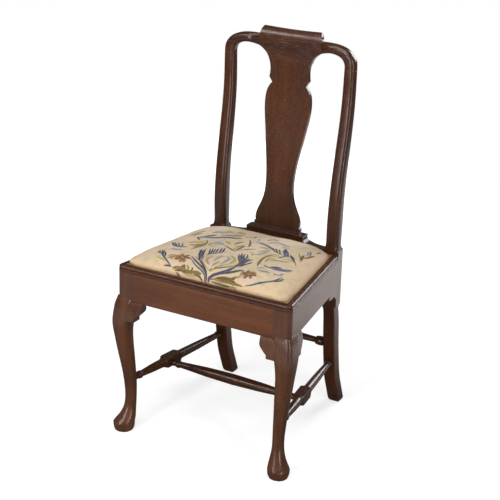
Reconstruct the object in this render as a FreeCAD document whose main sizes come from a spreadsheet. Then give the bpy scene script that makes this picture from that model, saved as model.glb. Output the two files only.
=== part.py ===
import FreeCAD, Part
import math
import os

import Sketcher

from FreeCAD import Placement, Rotation, Vector

doc = FreeCAD.newDocument("side_chair")
sizes = doc.addObject("Spreadsheet::Sheet", "sizes")

# Driving dimensions in millimetres. Heights run up from the floor and
# depths run back from the front face of the front seat rail.
DIMENSIONS = [
    ("total_height", 1028, "floor to the top of the crest rail"),
    ("seat_front_width", 504, "outside of the front posts, at the front face"),
    ("seat_back_width", 381, "outside of the rear posts, at the back face"),
    ("seat_depth", 407, "front rail face to back face of the rear posts"),
    ("rail_bottom", 372, "floor to the lower edge of the seat rails"),
    ("rail_height", 77, "height of the seat rails"),
    ("rail_thickness", 22, "thickness of front and side rails"),
    ("rear_rail_thickness", 37, "thickness of the rear rail"),
    ("lip_height", 17, "height of the lip moulding on the rails"),
    ("lip_width", 14, "width of the lip moulding and radius of the front corners"),
    ("quirk_depth", 1.6, "depth of the quirk under the lip moulding's bead"),
    ("leg_post", 50, "square of the front leg above the knee"),
    ("pad_radius", 28, "radius of the pad foot"),
    ("pad_height", 20, "floor to the widest line of the pad foot"),
    ("pad_sole_radius", 24, "radius of the pad foot on the floor"),
    ("knee_bracket_length", 30, "reach of a knee bracket along its rail"),
    ("knee_bracket_drop", 52, "height of a knee bracket"),
    ("knee_bracket_thickness", 30, "thickness of a knee bracket"),
    ("knee_bracket_proud", 12, "how far a knee bracket bulges in front of its rail"),
    ("rear_block", 39, "square of the rear post at the seat"),
    ("rear_block_top", 474, "floor to the top of that square block"),
    ("rear_block_bottom", 316, "floor to the bottom of that square block"),
    ("rear_leg_width", 34, "thickness of the rear leg below the block"),
    ("rear_kick", 72, "how far the rear foot stands behind its block"),
    ("rear_sole_height", 9, "height over which the rear foot is rounded off"),
    ("block_chamfer", 8, "height over which the block narrows into the stile"),
    ("stile_base_width", 38, "stile width above the block"),
    ("stile_base_depth", 37, "stile depth above the block"),
    ("stile_top_width", 30, "stile width at the crest rail"),
    ("stile_top_depth", 27, "stile depth at the crest rail"),
    ("stile_splay", 4.5, "how far a stile leans outwards"),
    ("spoon_start", 540, "floor to where the back starts to lean"),
    ("spoon_end_drop", 25, "crest joint down to where the back is upright again"),
    ("back_rake", 38, "how far the top of the back stands behind the seat"),
    ("crest_rail_height", 83, "joint under the crest rail to the chair's top"),
    ("crest_raised_width", 167, "width of the raised middle of the crest rail"),
    ("crest_step", 20.5, "height of the raised middle above the arms"),
    ("crest_dip", 3, "hollow along the top of the raised middle"),
    ("crest_arm_height", 25.5, "height of the crest rail's arms"),
    ("crest_thickness", 14, "thickness of the crest rail at its joint with the splat"),
    ("splat_thickness", 11, "thickness of the splat"),
    ("splat_setback", 6.5, "splat middle behind the stile middle"),
    ("splat_bulb_width", 134, "greatest width of the splat"),
    ("splat_tenon", 12, "length of the splat's tenons"),
    ("shoe_height", 28, "height of the shoe on the rear rail"),
    ("shoe_ledge_width", 172, "length of the shoe's top ledge"),
    ("shoe_ledge_height", 6, "height of the shoe's top ledge"),
    ("shoe_depth", 30, "depth of the shoe at its ledge"),
    ("rear_bracket_length", 60, "reach of a rear bracket under its side rail"),
    ("rear_bracket_drop", 31, "height of a rear bracket"),
    ("rear_bracket_thickness", 18, "thickness of a rear bracket"),
    ("stretcher_height", 140, "floor to the side stretchers' middle"),
    ("cross_stretcher_height", 136, "floor to the cross stretcher's middle"),
    ("cross_stretcher_setback", 171, "front rail face to the cross stretcher"),
    ("rear_stretcher_height", 193, "floor to the rear stretcher's middle"),
    ("stretcher_block", 28, "square block in a side stretcher"),
    ("stretcher_block_length", 66, "length of that block over its shoulders"),
    ("stretcher_block_setback", 181, "front rail face to the middle of that block"),
    ("stretcher_neck_radius", 8.5, "thinnest turned radius"),
    ("stretcher_swell_radius", 12.5, "turned radius beside the block"),
    ("stretcher_bead_radius", 11, "radius of the turned beads"),
    ("stretcher_bead_width", 12, "width of a turned bead"),
    ("rear_middle_radius", 10.5, "radius in the middle of the rear stretcher"),
    ("rear_neck_radius", 8, "thinnest radius of the rear stretcher"),
    ("rear_bulb_radius", 13.5, "radius of the rear stretcher's end bulbs"),
    ("rear_bulb_width", 30, "length of those bulbs"),
    ("cross_swell_radius", 15, "radius in the middle of the cross stretcher"),
    ("front_neck_length", 30, "front leg's middle to the side stretcher's first bead"),
    ("back_neck_length", 6, "rear leg's face to the side stretcher's last bead"),
    ("stretcher_pin_radius", 7, "radius of a stretcher's round tenon"),
    ("stretcher_pin_length", 14, "length of a stretcher's round tenon"),
    ("tenon_thickness", 10, "thickness of a rail's tenon"),
    ("tenon_length", 20, "length of a rail's tenon"),
    ("tenon_shoulder", 10, "shoulder above and below a rail's tenon"),
    ("rear_tenon_setback", 10, "back of the seat to the middle of the rear rail's tenons"),
    ("joint_clearance", 0.2, "play of a tenon in its mortise"),
    ("corner_block_leg", 46, "side of a glued corner block"),
    ("corner_block_height", 55, "height of a glued corner block"),
    ("seat_clearance", 1.5, "play of the slip seat inside the lip"),
    ("slip_frame_thickness", 15, "thickness of the slip seat's frame"),
    ("slip_rail_width", 48, "width of a slip seat frame member"),
    ("webbing_width", 50, "width of a webbing strap"),
    ("webbing_thickness", 1.2, "thickness of a webbing strap"),
    ("sackcloth_thickness", 0.8, "thickness of the sackcloth"),
    ("cover_thickness", 1.2, "thickness of the needlework cover"),
    ("cushion_crown", 32, "height of the cushion above the lip"),
    ("cushion_side", 4, "upright side of the cushion above the frame"),
    ("soft_gap", 0.3, "gap between soft layers"),
    ("cover_turn_under", 26, "width of the cover turned under the frame"),
    ("tack_head_radius", 4, "radius of a tack's head"),
    ("tack_head_height", 1, "height of a tack's head"),
    ("tack_pin_radius", 0.9, "radius of a tack's pin"),
    ("tack_pin_length", 9, "length of a tack's pin"),
    ("cut_overrun", 5, "how far a cutting shape runs past what it cuts"),
]

for row_number, (alias, amount, meaning) in enumerate(DIMENSIONS, start=1):
    sizes.set("A%d" % row_number, meaning)
    sizes.set("B%d" % row_number, str(amount))
    sizes.setAlias("B%d" % row_number, alias)
SETBACK_ROW = len(DIMENSIONS) + 1
sizes.set("A%d" % SETBACK_ROW, "front rail face to the middle of the chair's depth")
sizes.set("B%d" % SETBACK_ROW, "0")
sizes.setAlias("B%d" % SETBACK_ROW, "origin_setback")
doc.recompute()


def size(alias):
    return float(sizes.get(alias))


SEAT_TOP = size("rail_bottom") + size("rail_height") + size("lip_height")
LEDGE = size("rail_bottom") + size("rail_height")
HALF_FRONT = size("seat_front_width") / 2
HALF_BACK = size("seat_back_width") / 2
SIDE_SLOPE = (HALF_FRONT - HALF_BACK) / size("seat_depth")
SIDE_ANGLE = math.atan(SIDE_SLOPE)
SIDE_SECANT = 1 / math.cos(SIDE_ANGLE)
POST_FRONT = size("seat_depth") - size("rear_block")
POST_MIDDLE = size("seat_depth") - size("rear_block") / 2
REAR_X = HALF_BACK - size("rear_block") / 2
INNER_FRONT = HALF_FRONT - size("leg_post")
CREST_JOINT = size("total_height") - size("crest_rail_height")
SPOON_END = CREST_JOINT - size("spoon_end_drop")
GAP = size("joint_clearance")
CORNER_FLATS = 3
LOFT_DEGREE = 3
TURNING_SIDES = 16
TAPER_STEPS = 2
BEAD_FLATS = 4

# Cabriole leg, from just above the knee down to the pad: height as a share
# of the rail's lower edge, inset from the side face and from the front face
# as shares of the post, half width as a share of half the post, and how far
# its corners are rounded.
CABRIOLE_SHARES = [
    (1.020, 0.490, 0.490, 0.970, 0.35),
    (0.984, 0.440, 0.410, 1.030, 0.38),
    (0.925, 0.360, 0.340, 1.060, 0.46),
    (0.863, 0.300, 0.260, 1.030, 0.52),
    (0.806, 0.264, 0.200, 0.944, 0.56),
    (0.700, 0.310, 0.220, 0.836, 0.64),
    (0.590, 0.400, 0.270, 0.784, 0.74),
    (0.484, 0.490, 0.332, 0.712, 0.83),
    (0.376, 0.566, 0.378, 0.656, 0.90),
    (0.269, 0.606, 0.378, 0.600, 0.93),
    (0.188, 0.590, 0.334, 0.624, 0.93),
    (0.148, 0.558, 0.268, 0.720, 0.93),
    (0.1075, 0.496, 0.178, 0.890, 0.93),
    (0.080, 0.426, 0.104, 1.032, 0.93),
]
ROUND_SHARE = 0.93
FOOT_INSET_SIDE_SHARE = 0.372
FOOT_INSET_FRONT_SHARE = 0.056
# Rounded edge of the pad: share of its height, and of the way from the
# sole's radius to the pad's.
PAD_SHARES = [(0.00, 0.00), (0.20, 0.50), (0.52, 0.85), (1.00, 1.00)]

# Rear leg below its block: height as a share of the block's bottom and the
# share of the kick reached there.
REAR_LEG_SHARES = [
    (0.97, 0.045),
    (0.80, 0.17),
    (0.60, 0.25),
    (0.43, 0.36),
    (0.30, 0.47),
    (0.19, 0.64),
    (0.09, 0.82),
    (0.00, 1.00),
]
# Rounded foot of the rear leg: share of the sole's height, and half width as
# a share of half the leg.
REAR_SOLE_SHARES = [(0.00, 0.80), (0.40, 0.94), (1.00, 1.00)]

# Splat outline above the shoe: share of the way from the shoe's top to the
# crest joint, and half width as a share of half the greatest width.
SPLAT_SWELL_SHARES = [
    (0.036, 0.975),
    (0.065, 0.985),
    (0.100, 0.920),
    (0.140, 0.800),
    (0.185, 0.680),
    (0.235, 0.612),
    (0.285, 0.597),
    (0.350, 0.618),
    (0.430, 0.685),
    (0.510, 0.775),
    (0.590, 0.865),
    (0.660, 0.945),
    (0.725, 0.995),
    (0.775, 0.992),
    (0.815, 0.945),
    (0.848, 0.840),
    (0.866, 0.735),
]
SPLAT_BEAD_SHARES = (0.896, 0.872)
SPLAT_NECK_SHARES = [
    (0.915, 0.850),
    (0.945, 0.838),
    (0.975, 0.860),
    (1.000, 0.915),
]
SPLAT_PLINTH_SHARES = (0.030, 1.040)

# Middle of the crest rail from the splat joint out to its arm: share of the
# height from the joint to the arm's middle, and distance from the centre as
# a share of half the raised middle's width.
CREST_WEB_SHARES = [
    (0.00, 0.734),
    (0.22, 0.792),
    (0.46, 0.918),
    (0.64, 1.090),
    (0.76, 1.330),
]
# Crest arm from the stile round the shoulder to the middle: share of the
# way in from the stile to the centre, share of the way up from the joint to
# the arm's middle, tangent angle in degrees, width and depth as shares of
# the arm, and set back as a share of the splat's.
CREST_ARM_SHARES = [
    (0.000, 0.000, 90, 1.18, 1.00, 0.0),
    (0.003, 0.285, 93, 1.18, 1.00, 0.0),
    (0.026, 0.540, 112, 1.19, 1.00, 0.0),
    (0.090, 0.790, 137, 1.11, 1.00, 0.0),
    (0.180, 0.935, 158, 1.03, 1.00, 0.0),
    (0.276, 1.000, 174, 1.00, 1.00, 0.0),
    (0.374, 1.000, 182, 1.06, 0.90, 0.2),
    (0.480, 0.945, 185, 1.22, 0.60, 0.8),
]


def add_shape(label, shape):
    piece = doc.addObject("Part::Feature", label)
    piece.Shape = shape
    piece.setExpression("Placement.Base.y", "-sizes.origin_setback")
    return piece


def curve_edge(points, start_tangent=None, end_tangent=None):
    curve = Part.BSplineCurve()
    if start_tangent is None:
        curve.interpolate(points)
    else:
        curve.interpolate(points, InitialTangent=start_tangent, FinalTangent=end_tangent)
    return curve.toShape()


def line_edge(first, second):
    return Part.LineSegment(first, second).toShape()


def polygon_wire(points):
    return Part.makePolygon(list(points) + [points[0]])


def prism(points, direction):
    return Part.Face(polygon_wire(points)).extrude(direction)


def rounded_section(centre, across, along, half_across, half_along, round_share):
    """Closed square with its corners worked round; a share near 1 gives an oval."""
    points = []
    for quarter, (first, second) in enumerate(((1, 1), (-1, 1), (-1, -1), (1, -1))):
        hub = (centre + across * (first * half_across * (1 - round_share))
               + along * (second * half_along * (1 - round_share)))
        for step in range(CORNER_FLATS + 1):
            angle = math.pi / 2 * (quarter + step / CORNER_FLATS)
            points.append(hub + across * (math.cos(angle) * half_across * round_share)
                          + along * (math.sin(angle) * half_along * round_share))
    return polygon_wire(points)


def smooth_loft(sections):
    return Part.makeLoft(sections, True, False, False, LOFT_DEGREE)


def level_section(x, y, z, half_x, half_y, round_share):
    return rounded_section(Vector(x, y, z), Vector(1, 0, 0), Vector(0, 1, 0), half_x, half_y, round_share)


def side_face_x(y):
    """Half width of the seat frame's outer side faces at a depth."""
    return HALF_FRONT - SIDE_SLOPE * y


def back_middle(z):
    """Depth of the stiles' middle line: upright, leaning back, upright."""
    share = (z - size("spoon_start")) / (SPOON_END - size("spoon_start"))
    share = min(max(share, 0.0), 1.0)
    if share < 0.5:
        lean = 2 * share ** 2
    else:
        lean = 1 - 2 * (1 - share) ** 2
    return POST_MIDDLE + size("back_rake") * lean


def mirrored(shape, side):
    if side > 0:
        return shape
    return shape.mirror(Vector(0, 0, 0), Vector(1, 0, 0))


# Seat rails and their tenons

def rail_tenon_levels(clearance):
    low = size("rail_bottom") + size("tenon_shoulder") - clearance
    high = LEDGE - size("tenon_shoulder") + clearance
    return low, high


def front_tenon(clearance):
    low, high = rail_tenon_levels(clearance)
    middle = size("rail_thickness") / 2
    half = size("tenon_thickness") / 2 + clearance
    reach = INNER_FRONT + size("tenon_length") + clearance
    return Part.makeBox(2 * reach, 2 * half, high - low, Vector(-reach, middle - half, low))


def side_tenon(clearance):
    """Tenon through the whole length of the right side rail."""
    low, high = rail_tenon_levels(clearance)
    front = size("leg_post") - size("tenon_length") - clearance
    back = POST_FRONT + size("tenon_length") + clearance
    inset = (size("rail_thickness") / 2 - size("tenon_thickness") / 2 - clearance) * SIDE_SECANT
    width = (size("tenon_thickness") + 2 * clearance) * SIDE_SECANT
    points = [
        Vector(side_face_x(front) - inset, front, low),
        Vector(side_face_x(back) - inset, back, low),
        Vector(side_face_x(back) - inset - width, back, low),
        Vector(side_face_x(front) - inset - width, front, low),
    ]
    return prism(points, Vector(0, 0, high - low))


def rear_tenon(clearance):
    low, high = rail_tenon_levels(clearance)
    reach = REAR_X - size("rear_block") / 2 + size("tenon_length") + clearance
    half = size("tenon_thickness") / 2 + clearance
    middle = size("seat_depth") - size("rear_tenon_setback")
    return Part.makeBox(2 * reach, 2 * half, high - low, Vector(-reach, middle - half, low))


def origin_plane(body, role):
    return next(item for item in body.Origin.OriginFeatures if item.Role == role)


def bound_outline(body, name, role, corners, level):
    """Sketch of a straight-edged outline whose corners follow expressions."""
    sketch = body.newObject("Sketcher::SketchObject", name)
    sketch.AttachmentSupport = [(origin_plane(body, role), "")]
    sketch.MapMode = "FlatFace"
    sketch.setExpression("AttachmentOffset.Base.z", level)
    count = len(corners)
    places = []
    for across, along in corners:
        places.append(Vector(float(sketch.evalExpression(across)), float(sketch.evalExpression(along)), 0))
    for index in range(count):
        sketch.addGeometry(Part.LineSegment(places[index], places[(index + 1) % count]), False)
    for index in range(count):
        sketch.addConstraint(Sketcher.Constraint("Coincident", index, 2, (index + 1) % count, 1))
    for index, (across, along) in enumerate(corners):
        for kind, text, amount in (
            ("DistanceX", across, places[index].x),
            ("DistanceY", along, places[index].y),
        ):
            number = sketch.addConstraint(Sketcher.Constraint(kind, -1, 1, index, 1, amount))
            label = "%s_%d" % (kind, index)
            sketch.renameConstraint(number, label)
            sketch.setExpression("Constraints." + label, text)
    return sketch


def pad(body, name, sketch, length):
    feature = body.newObject("PartDesign::Pad", name)
    feature.Profile = sketch
    feature.setExpression("Length", length)
    return feature


def new_body(label):
    body = doc.addObject("PartDesign::Body", label)
    body.setExpression("Placement.Base.y", "-sizes.origin_setback")
    return body


def rectangle(half_length, front, back):
    return [
        ("-(%s)" % half_length, front),
        (half_length, front),
        (half_length, back),
        ("-(%s)" % half_length, back),
    ]


TENON_LOW = "sizes.rail_bottom + sizes.tenon_shoulder"
TENON_RISE = "sizes.rail_height - 2 * sizes.tenon_shoulder"
REAR_TENON_MIDDLE = "sizes.seat_depth - sizes.rear_tenon_setback"

front_rail = new_body("front_seat_rail")
front_half = "sizes.seat_front_width / 2 - sizes.leg_post"
board = bound_outline(front_rail, "front_rail_plan", "XY_Plane",
                      rectangle(front_half, "0", "sizes.rail_thickness"), "sizes.rail_bottom")
pad(front_rail, "front_rail_board", board, "sizes.rail_height")
tongue = bound_outline(front_rail, "front_tenon_plan", "XY_Plane",
                       rectangle(front_half + " + sizes.tenon_length",
                                 "(sizes.rail_thickness - sizes.tenon_thickness) / 2",
                                 "(sizes.rail_thickness + sizes.tenon_thickness) / 2"), TENON_LOW)
pad(front_rail, "front_rail_tenons", tongue, TENON_RISE)

rear_rail = new_body("rear_seat_rail")
rear_half = "sizes.seat_back_width / 2 - sizes.rear_block"
rear_front = "sizes.seat_depth - sizes.rear_block"
board = bound_outline(rear_rail, "rear_rail_plan", "XY_Plane",
                      rectangle(rear_half, rear_front, rear_front + " + sizes.rear_rail_thickness"),
                      "sizes.rail_bottom")
pad(rear_rail, "rear_rail_board", board, "sizes.rail_height + sizes.lip_height")
tongue = bound_outline(rear_rail, "rear_tenon_plan", "XY_Plane",
                       rectangle(rear_half + " + sizes.tenon_length",
                                 REAR_TENON_MIDDLE + " - sizes.tenon_thickness / 2",
                                 REAR_TENON_MIDDLE + " + sizes.tenon_thickness / 2"), TENON_LOW)
pad(rear_rail, "rear_rail_tenons", tongue, TENON_RISE)

SLOPE_TEXT = "(sizes.seat_front_width - sizes.seat_back_width) / 2 / sizes.seat_depth"
SECANT_TEXT = "sqrt(1 + (%s)^2)" % SLOPE_TEXT


def side_line(depth, inset, side):
    """Expression for the x of a line parallel to a side face, inset from it."""
    return "%d * (sizes.seat_front_width / 2 - %s * (%s) - (%s) * %s)" % (
        side, SLOPE_TEXT, depth, inset, SECANT_TEXT)


def side_strip(front, back, outer, inner, side):
    return [
        (side_line(front, outer, side), front),
        (side_line(back, outer, side), back),
        (side_line(back, inner, side), back),
        (side_line(front, inner, side), front),
    ]


for side, hand in ((-1, "left"), (1, "right")):
    rail = new_body("%s_seat_rail" % hand)
    board = bound_outline(rail, "%s_rail_plan" % hand, "XY_Plane",
                          side_strip("sizes.leg_post", rear_front, "0", "sizes.rail_thickness", side),
                          "sizes.rail_bottom")
    pad(rail, "%s_rail_board" % hand, board, "sizes.rail_height")
    tongue = bound_outline(rail, "%s_tenon_plan" % hand, "XY_Plane",
                           side_strip("sizes.leg_post - sizes.tenon_length",
                                      rear_front + " + sizes.tenon_length",
                                      "(sizes.rail_thickness - sizes.tenon_thickness) / 2",
                                      "(sizes.rail_thickness + sizes.tenon_thickness) / 2", side),
                           TENON_LOW)
    pad(rail, "%s_rail_tenons" % hand, tongue, TENON_RISE)


# Front legs: a square post on a cabriole leg with a pad foot

INNER_CORNER = Vector(side_face_x(size("lip_width")) - size("lip_width") * SIDE_SECANT,
                      size("lip_width"), 0)


def corner_outline(inset, level):
    """Plan of the front right corner: front face, rounded corner, side face."""
    radius = size("lip_width") - inset
    centre = INNER_CORNER + Vector(0, 0, level)
    side_normal = Vector(math.cos(SIDE_ANGLE), math.sin(SIDE_ANGLE), 0)
    halfway = Vector(math.sin(math.pi / 4 + SIDE_ANGLE / 2), -math.cos(math.pi / 4 + SIDE_ANGLE / 2), 0)
    start = centre + Vector(0, -radius, 0)
    middle = centre + halfway * radius
    end = centre + side_normal * radius
    return start, middle, end


def front_post_plan(level):
    start, middle, end = corner_outline(0, level)
    back = size("leg_post")
    inner_front = Vector(INNER_FRONT, 0, level)
    inner_back = Vector(INNER_FRONT, back, level)
    outer_back = Vector(side_face_x(back), back, level)
    edges = [
        line_edge(inner_front, start),
        Part.Arc(start, middle, end).toShape(),
        line_edge(end, outer_back),
        line_edge(outer_back, inner_back),
        line_edge(inner_back, inner_front),
    ]
    return Part.Face(Part.Wire(edges))


def leg_middle(z):
    """Middle of the cabriole leg at a height, on the right side."""
    rows = sorted(CABRIOLE_SHARES)
    share = z / size("rail_bottom")
    for low, high in zip(rows, rows[1:]):
        if low[0] <= share <= high[0]:
            part = (share - low[0]) / (high[0] - low[0])
            inset_side = low[1] + part * (high[1] - low[1])
            inset_front = low[2] + part * (high[2] - low[2])
            return HALF_FRONT - inset_side * size("leg_post"), inset_front * size("leg_post")


def rear_leg_middle(z):
    rows = sorted(REAR_LEG_SHARES)
    share = z / size("rear_block_bottom")
    for low, high in zip(rows, rows[1:]):
        if low[0] <= share <= high[0]:
            part = (share - low[0]) / (high[0] - low[0])
            return POST_MIDDLE + size("rear_kick") * (low[1] + part * (high[1] - low[1]))


SIDE_LOW = Vector(*leg_middle(size("stretcher_height")), size("stretcher_height"))
SIDE_BACK = Vector(REAR_X, rear_leg_middle(size("stretcher_height")), size("stretcher_height"))


def side_stretcher_pins(clearance):
    """Round tenons at both ends of the right side stretcher, as one rod."""
    direction = (SIDE_BACK - SIDE_LOW).normalize()
    start = SIDE_LOW - direction * clearance
    length = (SIDE_BACK - SIDE_LOW).Length + 2 * clearance
    return Part.makeCylinder(size("stretcher_pin_radius") + clearance, length, start, direction)


def cabriole_leg():
    sections = []
    half_post = size("leg_post") / 2
    for height, inset_side, inset_front, half, rounding in CABRIOLE_SHARES:
        sections.append(level_section(
            HALF_FRONT - inset_side * size("leg_post"),
            inset_front * size("leg_post"),
            height * size("rail_bottom"),
            half * half_post, half * half_post, rounding))
    foot_x = HALF_FRONT - FOOT_INSET_SIDE_SHARE * size("leg_post")
    foot_y = FOOT_INSET_FRONT_SHARE * size("leg_post")
    pad_sections = []
    for height, fullness in PAD_SHARES:
        radius = size("pad_sole_radius") + fullness * (size("pad_radius") - size("pad_sole_radius"))
        pad_sections.append(level_section(foot_x, foot_y, height * size("pad_height"),
                                          radius, radius, ROUND_SHARE))
    limb = smooth_loft(sections + pad_sections[-1:])
    sole = Part.makeLoft(pad_sections, True, True)
    post = front_post_plan(size("rail_bottom")).extrude(Vector(0, 0, size("rail_height")))
    return limb.fuse([sole, post])


SOLID_LEG = cabriole_leg()
LEG = SOLID_LEG.cut([front_tenon(GAP), side_tenon(GAP), side_stretcher_pins(GAP)])
for side, hand in ((-1, "left"), (1, "right")):
    add_shape("%s_front_leg" % hand, mirrored(LEG, side))


# Knee brackets: an ogee with a step, sawn from the solid

KNEE_BRACKET_SHARES = [
    (1.00, 0.30),
    (0.90, 0.46),
    (0.72, 0.58),
    (0.52, 0.70),
    (0.30, 0.82),
]


# Face of a bracket, which swells forward with the knee: share of the way
# down, and share of how far it stands proud.
KNEE_FACE_SHARES = [
    (0.00, 0.18),
    (0.10, 0.36),
    (0.25, 0.53),
    (0.50, 0.73),
    (0.75, 0.87),
    (1.00, 0.91),
]
SIDE_PROUD_SHARE = 0.88


def knee_bracket(corner, direction, inward, proud):
    """Bracket along a rail; corner is where the leg meets the rail's face."""
    length = size("knee_bracket_length")
    drop = size("knee_bracket_drop")
    thickness = size("knee_bracket_thickness")
    behind = size("leg_post") / 2
    up = Vector(0, 0, 1)
    root = corner - inward * proud
    hidden_end = root - direction * behind
    curve = [root + direction * length * reach - up * drop * fall
             for reach, fall in KNEE_BRACKET_SHARES]
    tip_top = root + direction * length
    step_low = root + direction * length * KNEE_BRACKET_SHARES[-1][0] - up * drop
    outline = Part.Face(Part.Wire([
        line_edge(hidden_end, tip_top),
        line_edge(tip_top, curve[0]),
        curve_edge(curve),
        line_edge(curve[-1], step_low),
        line_edge(step_low, hidden_end - up * drop),
        line_edge(hidden_end - up * drop, hidden_end),
    ]))
    swell = [hidden_end - up * drop * fall + inward * proud * (1 - share)
             for fall, share in KNEE_FACE_SHARES]
    back_top = hidden_end + inward * thickness
    back_low = back_top - up * drop
    section = Part.Face(Part.Wire([
        curve_edge(swell),
        line_edge(swell[-1], back_low),
        line_edge(back_low, back_top),
        line_edge(back_top, swell[0]),
    ]))
    sawn = outline.extrude(inward * thickness)
    carved = section.extrude(direction * (behind + length + size("cut_overrun")))
    return sawn.common(carved).cut(SOLID_LEG).removeSplitter()


def largest_solid(shape):
    return max(shape.Solids, key=lambda solid: solid.Volume)


def front_knee_bracket():
    return knee_bracket(Vector(INNER_FRONT, 0, size("rail_bottom")), Vector(-1, 0, 0),
                        Vector(0, 1, 0), size("knee_bracket_proud"))


def side_knee_bracket():
    along = Vector(-math.sin(SIDE_ANGLE), math.cos(SIDE_ANGLE), 0)
    inward = Vector(-math.cos(SIDE_ANGLE), -math.sin(SIDE_ANGLE), 0)
    corner = Vector(side_face_x(size("leg_post")), size("leg_post"), size("rail_bottom"))
    return knee_bracket(corner, along, inward, size("knee_bracket_proud") * SIDE_PROUD_SHARE)


FRONT_BRACKET = largest_solid(front_knee_bracket())
SIDE_BRACKET = largest_solid(side_knee_bracket())
for side, hand in ((-1, "left"), (1, "right")):
    add_shape("%s_front_knee_bracket" % hand, mirrored(FRONT_BRACKET, side))
    add_shape("%s_side_knee_bracket" % hand, mirrored(SIDE_BRACKET, side))


# Rear posts: kicked leg, square block and spooned stile in one length

def stile_middle_x(z):
    share = (z - size("rear_block_top")) / (CREST_JOINT - size("rear_block_top"))
    return REAR_X + size("stile_splay") * share


def stile_section(z, rounding):
    share = (z - size("rear_block_top")) / (CREST_JOINT - size("rear_block_top"))
    width = size("stile_base_width") + share * (size("stile_top_width") - size("stile_base_width"))
    depth = size("stile_base_depth") + share * (size("stile_top_depth") - size("stile_base_depth"))
    return level_section(stile_middle_x(z), back_middle(z), z, width / 2, depth / 2, rounding)


STILE_STATION_SHARES = (0, 0.12, 0.32, 0.52, 0.72, 0.92, 1)
STILE_ROUND_SHARE = 0.62
BLOCK_ROUND_SHARE = 0.16
LEG_ROUND_SHARE = 0.26
STILE_TENON_SHARE = 0.45


def stile_tenon(clearance):
    half = size("stile_top_depth") * STILE_TENON_SHARE / 2 + clearance
    length = size("crest_arm_height") * STILE_TENON_SHARE + clearance
    joint = CREST_JOINT
    corner = Vector(stile_middle_x(joint) - half, back_middle(joint) - half, joint)
    return Part.makeBox(2 * half, 2 * half, length, corner)


def rear_post():
    block_half = size("rear_block") / 2
    flare = size("rear_block_top") + size("block_chamfer")
    sections = [level_section(REAR_X, POST_MIDDLE, size("rear_block_top"),
                              block_half, block_half, BLOCK_ROUND_SHARE)]
    for share in STILE_STATION_SHARES:
        height = flare + (CREST_JOINT - flare) * share
        sections.append(stile_section(height, STILE_ROUND_SHARE))
    stile = smooth_loft(sections)
    leg_half = size("rear_leg_width") / 2
    low = size("rear_block_bottom")
    sections = [level_section(REAR_X, POST_MIDDLE, low, block_half, block_half, BLOCK_ROUND_SHARE)]
    for height, kick in REAR_LEG_SHARES[:-1]:
        sections.append(level_section(REAR_X, POST_MIDDLE + kick * size("rear_kick"), height * low,
                                      leg_half, leg_half, LEG_ROUND_SHARE))
    sole_sections = []
    for share, fullness in REAR_SOLE_SHARES:
        height = share * size("rear_sole_height")
        half = fullness * leg_half
        sole_sections.append(level_section(REAR_X, rear_leg_middle(height), height,
                                           half, half, LEG_ROUND_SHARE))
    leg = smooth_loft(sections + sole_sections[-1:])
    sole = Part.makeLoft(sole_sections, True, True)
    plan = [
        Vector(REAR_X - block_half, POST_FRONT, low),
        Vector(side_face_x(POST_FRONT), POST_FRONT, low),
        Vector(HALF_BACK, size("seat_depth"), low),
        Vector(REAR_X - block_half, size("seat_depth"), low),
    ]
    block = prism(plan, Vector(0, 0, size("rear_block_top") - low))
    return block.fuse([stile, leg, sole, stile_tenon(0)])


REAR_STRETCHER_MIDDLE = Vector(0, rear_leg_middle(size("rear_stretcher_height")),
                               size("rear_stretcher_height"))
REAR_REACH = REAR_X - size("rear_leg_width") / 2
REAR_PIN_REACH = REAR_REACH + size("stretcher_pin_length")


def cross_pins(middle, reach, clearance):
    """Round tenons at both ends of a bar across the chair, as one rod."""
    length = 2 * (reach + clearance)
    start = middle - Vector(reach + clearance, 0, 0)
    return Part.makeCylinder(size("stretcher_pin_radius") + clearance, length, start, Vector(1, 0, 0))


SOLID_POST = rear_post()
POST = SOLID_POST.cut([side_tenon(GAP), rear_tenon(GAP),
                       side_stretcher_pins(GAP),
                       cross_pins(REAR_STRETCHER_MIDDLE, REAR_PIN_REACH, GAP)])
for side, hand in ((-1, "left"), (1, "right")):
    add_shape("%s_rear_post" % hand, mirrored(POST, side))


# Lip moulding round the front and sides, mitred at the front corners

LIP_SHARES = [
    (0.06, 0.00),
    (0.06, 0.06),
    (0.00, 0.06),
    (0.00, 0.34),
    (0.11, 0.34),
    (0.11, 0.42),
]
LIP_BEAD_SHARES = [(0.02, 0.66), (0.14, 0.88), (0.45, 1.00)]
LIP_INNER_SHARE = 0.92


def lip_profile(corner, outward):
    """Moulding section; corner is its lower inner edge."""
    width = size("lip_width")
    up = Vector(0, 0, size("lip_height"))

    def place(inset, rise):
        return corner + outward * (width * (1 - inset)) + up * rise

    outline = [corner] + [place(inset, rise) for inset, rise in LIP_SHARES]
    bead = [place(inset, rise) for inset, rise in LIP_BEAD_SHARES]
    edges = [line_edge(first, second) for first, second in zip(outline, outline[1:])]
    edges.append(Part.Arc(outline[-1], bead[0], bead[1]).toShape())
    edges.append(line_edge(bead[1], bead[2]))
    shoulder = corner + up
    edges.append(line_edge(bead[2], shoulder))
    edges.append(line_edge(shoulder, corner))
    return Part.Face(Part.Wire(edges))


LIP_CORNER = INNER_CORNER + Vector(0, 0, LEDGE)
CORNER_TURN = math.degrees(math.pi / 2 + SIDE_ANGLE) / 2
SIDE_NORMAL = Vector(math.cos(SIDE_ANGLE), math.sin(SIDE_ANGLE), 0)


def front_lip():
    run = 2 * LIP_CORNER.x
    straight = lip_profile(Vector(-LIP_CORNER.x, LIP_CORNER.y, LIP_CORNER.z), Vector(0, -1, 0))
    turn = lip_profile(LIP_CORNER, Vector(0, -1, 0)).revolve(LIP_CORNER, Vector(0, 0, 1), CORNER_TURN)
    return straight.extrude(Vector(run, 0, 0)).fuse([turn, mirrored(turn, -1)]).removeSplitter()


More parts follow.
